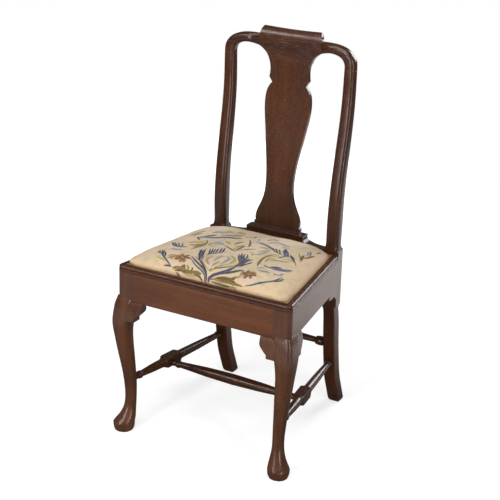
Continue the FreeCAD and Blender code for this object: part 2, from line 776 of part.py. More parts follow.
def side_lip():
    turn = lip_profile(LIP_CORNER, SIDE_NORMAL).revolve(LIP_CORNER, Vector(0, 0, 1), -CORNER_TURN)
    along = Vector(-math.sin(SIDE_ANGLE), math.cos(SIDE_ANGLE), 0)
    run = lip_profile(LIP_CORNER, SIDE_NORMAL).extrude(along * size("seat_depth"))
    beyond = Part.makeBox(size("seat_front_width"), size("seat_depth"), size("seat_depth"),
                          Vector(0, POST_FRONT, size("rail_bottom")))
    return turn.fuse(run.cut(beyond)).removeSplitter()


add_shape("front_lip_moulding", front_lip())
for side, hand in ((-1, "left"), (1, "right")):
    add_shape("%s_lip_moulding" % hand, mirrored(side_lip(), side))


# Rear brackets under the side rails

REAR_BRACKET_SHARES = [(0.96, 0.40), (0.80, 0.44), (0.58, 0.55)]
REAR_BRACKET_STEP_SHARES = [(0.52, 0.47), (0.30, 0.56), (0.13, 0.78)]
REAR_BRACKET_TIP_SHARE = 0.37


def rear_bracket():
    along = Vector(math.sin(SIDE_ANGLE), -math.cos(SIDE_ANGLE), 0)
    inward = Vector(-math.cos(SIDE_ANGLE), -math.sin(SIDE_ANGLE), 0)
    depth = inward * size("rear_bracket_thickness")
    root = Vector(side_face_x(POST_FRONT), POST_FRONT, size("rail_bottom"))
    drop = Vector(0, 0, -size("rear_bracket_drop"))
    length = along * size("rear_bracket_length")
    tip = root + length
    tip_low = tip + drop * REAR_BRACKET_TIP_SHARE
    first = [tip_low] + [root + length * reach + drop * fall for reach, fall in REAR_BRACKET_SHARES]
    second = [root + length * reach + drop * fall for reach, fall in REAR_BRACKET_STEP_SHARES]
    second.append(root + drop)
    overrun = -along * size("cut_overrun")
    edges = [
        line_edge(tip, tip_low),
        curve_edge(first),
        line_edge(first[-1], second[0]),
        curve_edge(second),
        line_edge(root + drop, root + drop + overrun),
        line_edge(root + drop + overrun, root + overrun),
        line_edge(root + overrun, tip),
    ]
    blank = Part.Face(Part.Wire(edges)).extrude(depth)
    beyond = Part.makeBox(size("seat_front_width"), size("seat_depth"), size("seat_depth"),
                          Vector(0, POST_FRONT, 0))
    return blank.cut(beyond)


for side, hand in ((-1, "left"), (1, "right")):
    add_shape("%s_rear_bracket" % hand, mirrored(rear_bracket(), side))


# Splat: sawn outline on a spooned board, tenoned into shoe and crest rail

SHOE_TOP = SEAT_TOP + size("shoe_height")
SPOON_STATIONS = 12
SPLAT_TENON_SHARE = 0.8


def splat_middle(z):
    return back_middle(z) + size("splat_setback")


def spooned_board(low, high, half_thickness):
    """Board of even thickness that follows the lean of the back."""
    front = []
    for step in range(SPOON_STATIONS + 1):
        z = low + (high - low) * step / SPOON_STATIONS
        front.append(Vector(-HALF_FRONT, splat_middle(z) - half_thickness, z))
    back = [point + Vector(0, 2 * half_thickness, 0) for point in front]
    edges = [
        curve_edge(front),
        line_edge(front[-1], back[-1]),
        curve_edge(back[::-1]),
        line_edge(back[0], front[0]),
    ]
    return Part.Face(Part.Wire(edges)).extrude(Vector(2 * HALF_FRONT, 0, 0))


def outline_prism(wire):
    """Solid through more than the depth of the chair from a front outline."""
    return Part.Face(wire).extrude(Vector(0, 2 * size("seat_depth"), 0))


def mirrored_outline(half_edges, top_half, top_height, bottom_half, bottom_height):
    edges = list(half_edges)
    for edge in half_edges:
        edges.append(edge.mirror(Vector(0, 0, 0), Vector(1, 0, 0)))
    edges.append(line_edge(Vector(-top_half, 0, top_height), Vector(top_half, 0, top_height)))
    edges.append(line_edge(Vector(-bottom_half, 0, bottom_height), Vector(bottom_half, 0, bottom_height)))
    return Part.Wire(Part.__sortEdges__(edges))


def splat_tenon(x_half, y, z, length, clearance):
    half = size("splat_thickness") * SPLAT_TENON_SHARE / 2 + clearance
    reach = x_half * SPLAT_TENON_SHARE + clearance
    base = min(z, z + length)
    return Part.makeBox(2 * reach, 2 * half, abs(length), Vector(-reach, y - half, base))


def splat_tenons(clearance):
    reach = size("splat_tenon") + clearance
    half = size("splat_bulb_width") / 2
    return [
        splat_tenon(half * SPLAT_PLINTH_SHARES[1], splat_middle(SHOE_TOP), SHOE_TOP, -reach, clearance),
        splat_tenon(half * SPLAT_NECK_SHARES[-1][1], splat_middle(CREST_JOINT), CREST_JOINT, reach, clearance),
    ]


def splat():
    half = size("splat_bulb_width") / 2
    rise = CREST_JOINT - SHOE_TOP

    def place(row):
        return Vector(row[1] * half, 0, SHOE_TOP + row[0] * rise)

    plinth = place(SPLAT_PLINTH_SHARES)
    foot = Vector(plinth.x, 0, SHOE_TOP)
    swell = [place(row) for row in SPLAT_SWELL_SHARES]
    bead = place(SPLAT_BEAD_SHARES)
    neck = [bead] + [place(row) for row in SPLAT_NECK_SHARES]
    half_edges = [
        line_edge(foot, plinth),
        line_edge(plinth, swell[0]),
        curve_edge(swell),
        line_edge(swell[-1], bead),
        curve_edge(neck),
    ]
    wire = mirrored_outline(half_edges, neck[-1].x, CREST_JOINT, foot.x, SHOE_TOP)
    board = spooned_board(SHOE_TOP - size("cut_overrun"), CREST_JOINT + size("cut_overrun"),
                          size("splat_thickness") / 2)
    return outline_prism(wire).common(board).fuse(splat_tenons(0))


add_shape("splat", splat())


# Shoe on the rear rail

SHOE_COVE_SHARES = [(0.70, 0.20), (0.36, 0.46), (0.12, 0.78)]
SHOE_TIP_SHARE = 0.06
SHOE_FRONT_SHARE = 0.55


def splat_shoe():
    ledge = size("shoe_ledge_width") / 2
    foot = REAR_X - size("rear_block") / 2
    ledge_low = SHOE_TOP - size("shoe_ledge_height")
    tip = SEAT_TOP + SHOE_TIP_SHARE * size("shoe_height")
    inner = ledge - size("quirk_depth")
    cove = [Vector(inner, 0, ledge_low)]
    for rise, reach in SHOE_COVE_SHARES:
        cove.append(Vector(inner + reach ** 2 * (foot - inner), 0, tip + rise * (ledge_low - tip)))
    cove.append(Vector(foot, 0, tip))
    half_edges = [
        line_edge(Vector(foot, 0, SEAT_TOP), Vector(foot, 0, tip)),
        curve_edge(cove),
        line_edge(Vector(inner, 0, ledge_low), Vector(ledge, 0, ledge_low)),
        line_edge(Vector(ledge, 0, ledge_low), Vector(ledge, 0, SHOE_TOP)),
    ]
    wire = mirrored_outline(half_edges, ledge, SHOE_TOP, foot, SEAT_TOP)
    back = POST_FRONT + size("rear_rail_thickness")
    ledge_front = back - size("shoe_depth")
    start = Vector(-foot, ledge_front, ledge_low)
    bottom = Vector(-foot, POST_FRONT, tip)
    middle = Vector(-foot, ledge_front - (ledge_front - POST_FRONT) * (1 - SHOE_FRONT_SHARE) ** 2,
                    tip + (ledge_low - tip) * (1 - SHOE_FRONT_SHARE))
    section = [
        line_edge(Vector(-foot, back, SEAT_TOP), Vector(-foot, back, SHOE_TOP)),
        line_edge(Vector(-foot, back, SHOE_TOP), Vector(-foot, ledge_front, SHOE_TOP)),
        line_edge(Vector(-foot, ledge_front, SHOE_TOP), start),
        Part.Arc(start, middle, bottom).toShape(),
        line_edge(bottom, Vector(-foot, POST_FRONT, SEAT_TOP)),
        line_edge(Vector(-foot, POST_FRONT, SEAT_TOP), Vector(-foot, back, SEAT_TOP)),
    ]
    bar = Part.Face(Part.Wire(section)).extrude(Vector(2 * foot, 0, 0))
    return outline_prism(wire).common(bar).cut(splat_tenons(GAP))


add_shape("splat_shoe", splat_shoe())


# Crest rail: arms that flow into the stiles and a raised, rolled-back middle

ARM_MIDDLE = size("total_height") - size("crest_step") - size("crest_arm_height") / 2
CREST_CORNER_SHARES = [(1.055, 0.30), (1.10, 0.66), (1.20, 0.94)]
CREST_ROLL_SHARES = [
    (-0.50, 0.00),
    (-0.62, 0.38),
    (-0.60, 0.66),
    (-0.30, 0.90),
    (0.35, 1.00),
    (1.00, 0.96),
    (1.10, 0.84),
    (0.80, 0.62),
    (0.55, 0.36),
    (0.50, 0.00),
]
# Plan of the rolled middle's right end, worked back behind its front face:
# out as a share of half the raised width, back as a share of the thickness.
CREST_END_SHARES = [(1.60, -2.00), (1.60, -0.20), (1.16, -0.20), (0.94, 1.40)]


def crest_arm():
    sections = []
    start_x = stile_middle_x(CREST_JOINT)
    for way_in, way_up, turn, width, depth, back in CREST_ARM_SHARES:
        centre = Vector(start_x * (1 - way_in), 0, CREST_JOINT + way_up * (ARM_MIDDLE - CREST_JOINT))
        centre.y = back_middle(CREST_JOINT) + back * size("splat_setback")
        angle = math.radians(turn)
        across = Vector(math.sin(angle), 0, -math.cos(angle))
        sections.append(rounded_section(centre, across, Vector(0, 1, 0),
                                        width * size("crest_arm_height") / 2,
                                        depth * size("stile_top_depth") / 2, STILE_ROUND_SHARE))
    return smooth_loft(sections)


def crest_middle():
    half = size("crest_raised_width") / 2
    top = size("total_height")
    step = top - ARM_MIDDLE
    web = [Vector(x * half, 0, CREST_JOINT + z * (ARM_MIDDLE - CREST_JOINT)) for z, x in CREST_WEB_SHARES]
    corner = Vector(half, 0, top)
    side_curve = [corner]
    for x, fall in CREST_CORNER_SHARES:
        side_curve.append(Vector(x * half, 0, top - fall * step))
    crown = Part.Arc(Vector(-half, 0, top), Vector(0, 0, top - size("crest_dip")), corner).toShape()
    half_edges = [
        curve_edge(web),
        line_edge(web[-1], side_curve[-1]),
        line_edge(corner, side_curve[1]),
        curve_edge(side_curve[1:]),
    ]
    edges = [crown]
    for edge in half_edges:
        edges.append(edge)
        edges.append(edge.mirror(Vector(0, 0, 0), Vector(1, 0, 0)))
    edges.append(line_edge(Vector(-web[0].x, 0, CREST_JOINT), Vector(web[0].x, 0, CREST_JOINT)))
    wire = Part.Wire(Part.__sortEdges__(edges))
    reach = 2 * half
    thickness = size("crest_thickness")
    middle = splat_middle(CREST_JOINT) + (thickness - size("splat_thickness")) / 2
    rise = size("crest_rail_height")
    section = [Vector(-reach, middle + y * thickness, CREST_JOINT + z * rise)
               for y, z in CREST_ROLL_SHARES]
    profile = [
        curve_edge(section),
        line_edge(section[-1], section[0]),
    ]
    bar = Part.Face(Part.Wire(profile)).extrude(Vector(2 * reach, 0, 0))
    right_end = [Vector(x * half, middle + y * thickness, CREST_JOINT) for x, y in CREST_END_SHARES]
    left_end = [Vector(-point.x, point.y, point.z) for point in reversed(right_end)]
    plan = prism(right_end + left_end, Vector(0, 0, rise))
    return outline_prism(wire).common(bar).common(plan)


def crest_rail():
    arm = crest_arm()
    shape = crest_middle().fuse([arm, mirrored(arm, -1)])
    tenon = stile_tenon(GAP)
    return shape.cut(splat_tenons(GAP) + [tenon, mirrored(tenon, -1)])


add_shape("crest_rail", crest_rail())


# Turned stretchers

def bead_points(start, radius, bead_radius, width):
    """Corners of a half-round bead, from the neck up and back to the neck."""
    points = []
    for step in range(BEAD_FLATS + 1):
        angle = math.pi * step / BEAD_FLATS
        points.append(Vector(start + width / 2 * (1 - math.cos(angle)),
                             radius + (bead_radius - radius) * math.sin(angle), 0))
    return points


def taper_points(start, end, bow):
    """Bowed taper of a turning, short of both its ends."""
    points = []
    for step in range(1, TAPER_STEPS):
        share = step / TAPER_STEPS
        swell = 4 * share * (1 - share) * bow
        points.append(start + (end - start) * share + Vector(0, swell, 0))
    return points


def turned(profile, origin, direction):
    """Turning with flats round it; the profile runs along x, its radius in y."""
    rings = []
    for point in profile:
        ring = []
        for step in range(TURNING_SIDES):
            angle = 2 * math.pi * step / TURNING_SIDES
            ring.append(Vector(point.x, point.y * math.cos(angle), point.y * math.sin(angle)))
        rings.append(polygon_wire(ring))
    solid = Part.makeLoft(rings, True, True)
    solid.Placement = Placement(origin, Rotation(Vector(1, 0, 0), direction))
    return solid


LEG_AT_STRETCHER_SHARE = 0.656
TAPER_BOW_SHARE = 0.2


def side_stretcher():
    span = SIDE_BACK - SIDE_LOW
    length = span.Length
    direction = Vector(span).normalize()
    neck = size("stretcher_neck_radius")
    swell = size("stretcher_swell_radius")
    bead = size("stretcher_bead_radius")
    width = size("stretcher_bead_width")
    block_half = size("stretcher_block_length") / 2
    corner = size("stretcher_block") / 2 * math.sqrt(2) / math.cos(math.pi / TURNING_SIDES)
    shoulder = corner - swell
    block = (size("stretcher_block_setback") - SIDE_LOW.y) / direction.y
    front_bead = size("front_neck_length")
    back_bead = length - size("rear_leg_width") / 2 - size("back_neck_length") - width
    taper_bow = (swell - neck) * TAPER_BOW_SHARE
    before = block - block_half
    after = block + block_half
    profile = [Vector(width / 2, neck, 0)]
    profile += bead_points(front_bead, neck, bead, width)
    profile += taper_points(profile[-1], Vector(before, swell, 0), taper_bow)
    profile += [
        Vector(before, swell, 0),
        Vector(before + shoulder, corner, 0),
        Vector(after - shoulder, corner, 0),
        Vector(after, swell, 0),
    ]
    profile += taper_points(profile[-1], Vector(back_bead, neck, 0), taper_bow)
    profile += bead_points(back_bead, neck, bead, width)
    profile.append(Vector(length - width / 2, neck, 0))
    turning = turned(profile, SIDE_LOW, direction)
    square = size("stretcher_block")
    bar = Part.makeBox(length, square, square)
    bar.Placement = Placement(SIDE_LOW, Rotation(Vector(1, 0, 0), direction))
    bar.translate(bar.Placement.Rotation.multVec(Vector(0, -square / 2, -square / 2)))
    shape = largest_solid(turning.common(bar).cut([SOLID_LEG, SOLID_POST]))
    inset = LEG_AT_STRETCHER_SHARE * size("leg_post") / 2 - size("stretcher_pin_length")
    pins = Part.makeCylinder(size("stretcher_pin_radius"), length - 2 * inset,
                             SIDE_LOW + direction * inset, direction)
    return shape.fuse(pins).removeSplitter()


def cross_stretcher(middle, end_x, centre_radius, end_radius, ring_radius, ring_width, ring_at, carrier):
    """Turned bar across the chair with a ring at each end."""
    taper_bow = (centre_radius - end_radius) * TAPER_BOW_SHARE
    middle_point = Vector(0, centre_radius, 0)
    profile = [Vector(-end_x, end_radius, 0)]
    profile += bead_points(-ring_at - ring_width, end_radius, ring_radius, ring_width)
    profile += taper_points(profile[-1], middle_point, taper_bow)
    profile.append(middle_point)
    profile += taper_points(middle_point, Vector(ring_at, end_radius, 0), taper_bow)
    profile += bead_points(ring_at, end_radius, ring_radius, ring_width)
    profile.append(Vector(end_x, end_radius, 0))
    bar = turned(profile, middle, Vector(1, 0, 0))
    return largest_solid(bar.cut([carrier, mirrored(carrier, -1)]))


CROSS_MIDDLE = Vector(0, size("cross_stretcher_setback"), size("cross_stretcher_height"))
SIDE_STRETCHER = side_stretcher()
CROSS_REACH = (SIDE_LOW.x + (SIDE_BACK.x - SIDE_LOW.x)
               * (CROSS_MIDDLE.y - SIDE_LOW.y) / (SIDE_BACK.y - SIDE_LOW.y))
cross_bar = cross_stretcher(CROSS_MIDDLE, CROSS_REACH, size("cross_swell_radius"),
                            size("stretcher_neck_radius"), size("stretcher_bead_radius"),
                            size("stretcher_bead_width"),
                            CROSS_REACH - size("stretcher_block") - size("stretcher_bead_width"),
                            SIDE_STRETCHER)
add_shape("medial_stretcher", cross_bar.fuse(cross_pins(CROSS_MIDDLE, CROSS_REACH, 0)).removeSplitter())
side_bar = SIDE_STRETCHER.cut(cross_pins(CROSS_MIDDLE, CROSS_REACH, GAP))
for side, hand in ((-1, "left"), (1, "right")):
    add_shape("%s_side_stretcher" % hand, mirrored(side_bar, side))

rear_bar = cross_stretcher(REAR_STRETCHER_MIDDLE, REAR_X, size("rear_middle_radius"),
                           size("rear_neck_radius"), size("rear_bulb_radius"),
                           size("rear_bulb_width"),
                           REAR_REACH - size("rear_bulb_width"), SOLID_POST)
rear_pins = cross_pins(REAR_STRETCHER_MIDDLE, REAR_PIN_REACH, 0)
add_shape("rear_stretcher", rear_bar.fuse(rear_pins).removeSplitter())


# Glued corner blocks inside the seat frame

def front_corner_block():
    leg = size("corner_block_leg")
    inner = size("rail_thickness")
    post = size("leg_post")
    rail_inner = side_face_x(post) - size("rail_thickness") * SIDE_SECANT
    far = post + leg
    points = [
        Vector(INNER_FRONT, inner, 0),
        Vector(INNER_FRONT, post, 0),
        Vector(rail_inner, post, 0),
        Vector(side_face_x(far) - size("rail_thickness") * SIDE_SECANT, far, 0),
        Vector(INNER_FRONT - leg, inner, 0),
    ]
    low = LEDGE - size("corner_block_height")
    return prism([point + Vector(0, 0, low) for point in points],
                 Vector(0, 0, size("corner_block_height")))


def rear_corner_block():
    leg = size("corner_block_leg")
    far = POST_FRONT - leg
    rail = size("rail_thickness") * SIDE_SECANT
    low = LEDGE - size("corner_block_height")
    corner = side_face_x(POST_FRONT) - rail
    points = [
        Vector(corner, POST_FRONT, low),
        Vector(corner - leg, POST_FRONT, low),
        Vector(side_face_x(far) - rail, far, low),
    ]
    return prism(points, Vector(0, 0, size("corner_block_height")))


for side, hand in ((-1, "left"), (1, "right")):
    add_shape("%s_front_corner_block" % hand, mirrored(front_corner_block(), side))
    add_shape("%s_rear_corner_block" % hand, mirrored(rear_corner_block(), side))


# Slip seat: frame, webbing, sackcloth, stuffing and needlework cover

COVER_LOW = LEDGE + size("soft_gap")
FRAME_LOW = COVER_LOW + size("cover_thickness")
FRAME_HIGH = FRAME_LOW + size("slip_frame_thickness")
WEBBING_HIGH = FRAME_HIGH + size("webbing_thickness")
SACK_HIGH = WEBBING_HIGH + size("sackcloth_thickness")
SEAT_FRONT = size("lip_width") + size("seat_clearance")
SEAT_REAR = POST_FRONT - size("seat_clearance")
CROWN_STEPS = 4
CROWN_POWER = 4


def seat_half_width(y, inset):
    return side_face_x(y) - (size("lip_width") + size("seat_clearance") + inset) * SIDE_SECANT


def seat_plan(inset, level):
    front = SEAT_FRONT + inset
    rear = SEAT_REAR - inset
    return [
        Vector(-seat_half_width(front, inset), front, level),
        Vector(seat_half_width(front, inset), front, level),
        Vector(seat_half_width(rear, inset), rear, level),
        Vector(-seat_half_width(rear, inset), rear, level),
    ]


def seat_slab(inset, low, high):
    return prism(seat_plan(inset, low), Vector(0, 0, high - low))


def crowned_pad(inset, low, top):
    """Closed pad with upright sides and a full, crowned top."""
    front = SEAT_FRONT + inset
    rear = SEAT_REAR - inset
    side_level = FRAME_HIGH + size("cushion_side")
    rise = top - side_level
    rows = []
    for row in range(CROWN_STEPS + 1):
        along = -math.cos(math.pi * row / CROWN_STEPS)
        y = (front + rear) / 2 + along * (rear - front) / 2
        line = []
        for column in range(CROWN_STEPS + 1):
            across = -math.cos(math.pi * column / CROWN_STEPS)
            fullness = max(0.0, (1 - abs(along) ** CROWN_POWER) * (1 - abs(across) ** CROWN_POWER))
            line.append(Vector(across * seat_half_width(y, inset), y,
                               side_level + rise * math.sqrt(fullness)))
        rows.append(line)
    surface = Part.BSplineSurface()
    surface.interpolate(rows)
    column = surface.toShape().extrude(Vector(0, 0, low - top - size("cushion_crown")))
    room = Part.makeBox(2 * HALF_FRONT, size("seat_depth"), top - low + size("cushion_crown"),
                        Vector(-HALF_FRONT, 0, low))
    return column.common(room)


CROWN_TOP = SEAT_TOP + size("cushion_crown")
TACKS_PER_SIDE = 5
TACK_ROW_SHARE = 0.62


def regular_outline(centre, radius, sides):
    points = []
    for step in range(sides):
        angle = 2 * math.pi * step / sides
        points.append(centre + Vector(math.cos(angle), math.sin(angle), 0) * radius)
    return polygon_wire(points)


TACK_HEAD_SIDES = 5
TACK_PIN_SIDES = 3
TACK_POINT_SHARE = 0.25
TACK_MARGIN = 1.5


def cover_tacks():
    """Forged tacks through the turned-under edge, clear of the rails' ledge."""
    inset = size("rail_thickness") - SEAT_FRONT
    inset += (size("cover_turn_under") - inset) * TACK_ROW_SHARE
    corners = seat_plan(inset, COVER_LOW)
    head_drop = Vector(0, 0, -size("tack_head_height"))
    pin_rise = Vector(0, 0, size("tack_pin_length"))
    heads = []
    pins = []
    for index, start in enumerate(corners):
        end = corners[(index + 1) % len(corners)]
        for step in range(TACKS_PER_SIDE):
            share = (step + TACK_MARGIN) / (TACKS_PER_SIDE - 1 + 2 * TACK_MARGIN)
            place = start + (end - start) * share
            head = size("tack_head_radius")
            heads.append(Part.makeLoft([
                regular_outline(place, head, TACK_HEAD_SIDES),
                regular_outline(place + head_drop, head * TACK_POINT_SHARE, TACK_HEAD_SIDES),
            ], True, True))
            pin = size("tack_pin_radius")
            pins.append(Part.makeLoft([
                regular_outline(place, pin, TACK_PIN_SIDES),
                regular_outline(place + pin_rise, pin * TACK_POINT_SHARE, TACK_PIN_SIDES),
            ], True, True))
    return heads, pins


def slip_frame():
    outer = size("cover_thickness")
    width = size("slip_rail_width")
    ring = seat_slab(outer, FRAME_LOW, FRAME_HIGH)
    front = SEAT_FRONT + outer + width
    rear = SEAT_REAR - outer - width
    half = size("seat_front_width")
    depth = size("seat_depth")
    height = size("slip_frame_thickness")
    front_zone = Part.makeBox(2 * half, front, height, Vector(-half, 0, FRAME_LOW))
    rear_zone = Part.makeBox(2 * half, depth, height, Vector(-half, rear, FRAME_LOW))
    hollow = seat_slab(outer + width, FRAME_LOW, FRAME_HIGH)
    holes = cover_tacks()[1]
    front_bar = ring.common(front_zone).cut(holes)
    rear_bar = ring.common(rear_zone).cut(holes)
    sides = ring.cut([front_zone, rear_zone, hollow]).cut(holes)
    left, right = sorted(sides.Solids, key=lambda solid: solid.CenterOfMass.x)
    return front_bar, rear_bar, left, right


frame_front, frame_rear, frame_left, frame_right = slip_frame()
add_shape("slip_frame_front", frame_front)
add_shape("slip_frame_rear", frame_rear)
add_shape("slip_frame_left", frame_left)
add_shape("slip_frame_right", frame_right)


WEBBING_PLACE_SHARES = (0.2, 0.5, 0.8)
WEBBING_INSET_SHARE = 0.5
SACK_INSET_SHARE = 0.25


def webbing():
    inset = size("cover_thickness") + size("slip_rail_width") * WEBBING_INSET_SHARE
    field = seat_slab(inset, FRAME_HIGH, WEBBING_HIGH)
    front = SEAT_FRONT + inset
    rear = SEAT_REAR - inset
    strap = size("webbing_width")
    low = FRAME_HIGH
    thick = size("webbing_thickness")
    straps = []
    for share in WEBBING_PLACE_SHARES:
        y = front + share * (rear - front) - strap / 2
        straps.append(Part.makeBox(2 * HALF_FRONT, strap, thick, Vector(-HALF_FRONT, y, low)))
        x = (2 * share - 1) * HALF_BACK - strap / 2
        straps.append(Part.makeBox(strap, size("seat_depth"), thick, Vector(x, 0, low)))
    return straps[0].fuse(straps[1:]).common(field).removeSplitter()


add_shape("webbing", webbing())
add_shape("sackcloth", seat_slab(size("cover_thickness") + size("slip_rail_width") * SACK_INSET_SHARE,
                                 WEBBING_HIGH, SACK_HIGH))
stuffing_inset = size("cover_thickness") + size("soft_gap")
add_shape("seat_stuffing", crowned_pad(stuffing_inset, SACK_HIGH, CROWN_TOP - stuffing_inset))


def needlework_cover():
    outer = crowned_pad(0, COVER_LOW, CROWN_TOP)
    thickness = size("cover_thickness")
    inner = crowned_pad(thickness, FRAME_LOW, CROWN_TOP - thickness)
    opening = seat_slab(size("cover_turn_under"), COVER_LOW - size("cut_overrun"), FRAME_HIGH)
    return outer.cut([inner, opening]).cut(cover_tacks()[1])


add_shape("needlework_cover", needlework_cover())
add_shape("cover_tacks", Part.makeCompound([head.fuse(pin) for head, pin in zip(*cover_tacks())]))


def finish():
    doc.recompute()
    pieces = [item for item in doc.Objects
              if item.TypeId == "PartDesign::Body"
              or (item.TypeId.startswith("Part::") and not item.InList)]
    for item in doc.Objects:
        if "Invalid" in item.State or "Error" in item.State:
            raise RuntimeError("%s failed: %s" % (item.Label, item.State))
    boxes = [piece.Shape.optimalBoundingBox(False, False) for piece in pieces]
    low = min(box.YMin for box in boxes)
    high = max(box.YMax for box in boxes)
    sizes.set("B%d" % SETBACK_ROW, str((low + high) / 2))
    doc.recompute()
    print("origin_setback", sizes.get("origin_setback"))
    os.makedirs("parts", exist_ok=True)
    for piece in pieces:
        shape = piece.Shape
        if shape.isNull() or not shape.isValid():
            raise RuntimeError("%s has no valid shape" % piece.Label)
        print(piece.Label, len(shape.Solids), round(shape.Volume))
        shape.exportStep("parts/%s.step" % piece.Label)


finish()
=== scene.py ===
"""Side chair with a cabriole front, a vase splat and a needlework slip seat."""

import math
import random

import bmesh
import bpy
from bpy.props import FloatProperty, FloatVectorProperty, IntProperty, PointerProperty
from mathutils import Matrix, Vector


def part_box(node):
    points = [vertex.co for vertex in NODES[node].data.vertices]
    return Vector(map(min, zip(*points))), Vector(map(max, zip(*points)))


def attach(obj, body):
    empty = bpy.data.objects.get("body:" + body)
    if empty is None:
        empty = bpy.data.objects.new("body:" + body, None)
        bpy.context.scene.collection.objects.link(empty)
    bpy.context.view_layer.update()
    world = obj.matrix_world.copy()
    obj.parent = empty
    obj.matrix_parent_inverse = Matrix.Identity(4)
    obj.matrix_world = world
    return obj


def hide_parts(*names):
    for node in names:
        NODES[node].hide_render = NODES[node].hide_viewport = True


bl_info = {
    "name": "Side chair",
    "version": (1, 0, 0),
    "blender": (4, 5, 0),
    "location": "View3D > Sidebar > Side chair",
    "description": "Polished wood, slip seat and crewelwork of a side chair",
    "category": "Object",
}

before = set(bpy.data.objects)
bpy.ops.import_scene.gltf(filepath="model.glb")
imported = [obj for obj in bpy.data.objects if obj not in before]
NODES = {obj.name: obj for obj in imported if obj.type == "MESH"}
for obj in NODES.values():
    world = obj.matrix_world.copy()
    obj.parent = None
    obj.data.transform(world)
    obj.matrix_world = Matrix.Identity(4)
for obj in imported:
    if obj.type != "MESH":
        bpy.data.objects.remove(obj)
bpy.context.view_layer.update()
MM = 0.001
FRONT_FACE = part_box("front_seat_rail")[0].y
COVER_LOW, COVER_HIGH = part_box("needlework_cover")
LIP_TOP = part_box("front_lip_moulding")[1].z

# Half of the seat's width is less by this much for each metre from front to back.
SIDE_TAPER = 0.151

# The stuffing's side ends and its crown starts at this level.
PAD_LOW, PAD_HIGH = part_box("seat_stuffing")
PAD_SIDE = PAD_LOW.z + 3 * MM
PAD_CROWN = PAD_HIGH.z - PAD_SIDE

# Before it swells, the pad has this share of the crown's height, with its sides this steep.
START_SHARE = 0.97
FULLNESS = 2.8

# The photograph's camera, fitted to the chair's square joints and level lines, in radians,
# metres and, for the lens and its sensor, millimetres.
PHOTO_AZIMUTH = 0.505957
PHOTO_ELEVATION = 0.364546
PHOTO_ROLL = 0.029700
PHOTO_DISTANCE = 3.3455
PHOTO_LENS = 93.345
SENSOR_WIDTH = 36.0
PHOTO_SIZE = 500
CAMERA_TARGET = Vector((0.013376, FRONT_FACE + 0.22, 0.490475))

# The polished pieces, each with the direction of its grain and its tone.
SEAT_FRAME = {
    "front_seat_rail": ("X", "rail"), "rear_seat_rail": ("X", "rail"),
    "left_seat_rail": ("Y", "rail"), "right_seat_rail": ("Y", "rail"),
    "front_lip_moulding": ("X", "lip"), "left_lip_moulding": ("Y", "lip"),
    "right_lip_moulding": ("Y", "lip"),
    "left_rear_bracket": ("Y", "rail"), "right_rear_bracket": ("Y", "rail")}
FRONT_LEGS = dict.fromkeys((
    "left_front_leg", "right_front_leg", "left_front_knee_bracket", "right_front_knee_bracket",
    "left_side_knee_bracket", "right_side_knee_bracket"), ("Z", "leg"))
BACK = {
    "left_rear_post": ("Z", "post"), "right_rear_post": ("Z", "post"),
    "crest_rail": ("X", "splat"), "splat": ("Z", "splat"), "splat_shoe": ("X", "splat")}
STRETCHERS = {
    "left_side_stretcher": ("Y", "post"), "right_side_stretcher": ("Y", "post"),
    "medial_stretcher": ("X", "post"), "rear_stretcher": ("X", "post")}
CORNER_BLOCKS = ("left_front_corner_block", "right_front_corner_block",
                 "left_rear_corner_block", "right_rear_corner_block")
SLIP_FRAME = ("slip_frame_front", "slip_frame_rear", "slip_frame_left", "slip_frame_right")

# How each group has aged: shares of the plain wood's red, green and blue. The legs' paler,
# bluer share is also a painted reflection, a grey sheen over their colour.
TONES = {
    "rail": (1.3, 1.3, 1.3), "lip": (0.78, 0.74, 0.7), "leg": (1.1, 1.32, 1.95),
    "post": (0.68, 0.64, 0.6), "splat": (0.78, 0.76, 0.72)}

# Painted shade on the wood just above the seat, where the back meets it: it fades in between
# the first levels and out between the others.
SEAT_SHADE_BEGINS = (LIP_TOP, LIP_TOP + 10 * MM)
SEAT_SHADE_ENDS = (0.49, 0.66)

# The linen's plain border fades in between these distances out from the middle, at the front
# rail's face, and out between these back from that face. The linen is darker below these
# levels, fading out between them.
BORDER_SIDES = (0.176, 0.232)
BORDER_FRONT = (0.012, 0.045)
LINEN_DARKER_LEVELS = (LIP_TOP - 2 * MM, LIP_TOP + 9 * MM)

# Ribs of the linen's twill and cross threads, to a metre across and back added up.
TWILL_RIBS = 720
CROSS_THREADS = 1150

# The webbing's dark stripes are this far from its middle. Half of one is solid up to the first
# of these widths, and has faded away at the second.
STRIPE_PLACE = 17 * MM
STRIPE_HALVES = (0.9 * MM, 1.5 * MM)

GRAIN_TURNS = {"X": (0.0, math.pi / 2, 0.0), "Y": (math.pi / 2, 0.0, 0.0), "Z": (0.0, 0.0, 0.0)}


# Settings a user would change

def colour_setting(name, description, default):
    return FloatVectorProperty(
        name=name, description=description, subtype="COLOR", size=3, min=0.0, max=1.0, default=default)


def power_setting(side, watts):
    return FloatProperty(
        name=side + " softbox", description="Power of this softbox", subtype="POWER", min=0.0,
        default=watts)


class WoodSettings(bpy.types.PropertyGroup):
    deep_colour: colour_setting("Deep colour", "Colour of the darkest streaks", (0.030, 0.0080, 0.0028))
    body_colour: colour_setting("Body colour", "Colour of most of the wood", (0.084, 0.0250, 0.0070))
    warm_colour: colour_setting("Warm colour", "Colour of the lightest figure", (0.150, 0.050, 0.0150))
    polish: FloatProperty(
        name="Polish", description="Roughness of the waxed surface", subtype="FACTOR",
        min=0.0, max=1.0, default=0.15)
    edge_radius: FloatProperty(
        name="Edge radius", description="How far edges are worn round", subtype="DISTANCE",
        min=0.0, default=1.0 * MM)
    wear: FloatProperty(
        name="Wear", description="How much paler worn edges are", subtype="FACTOR",
        min=0.0, max=1.0, default=0.3)


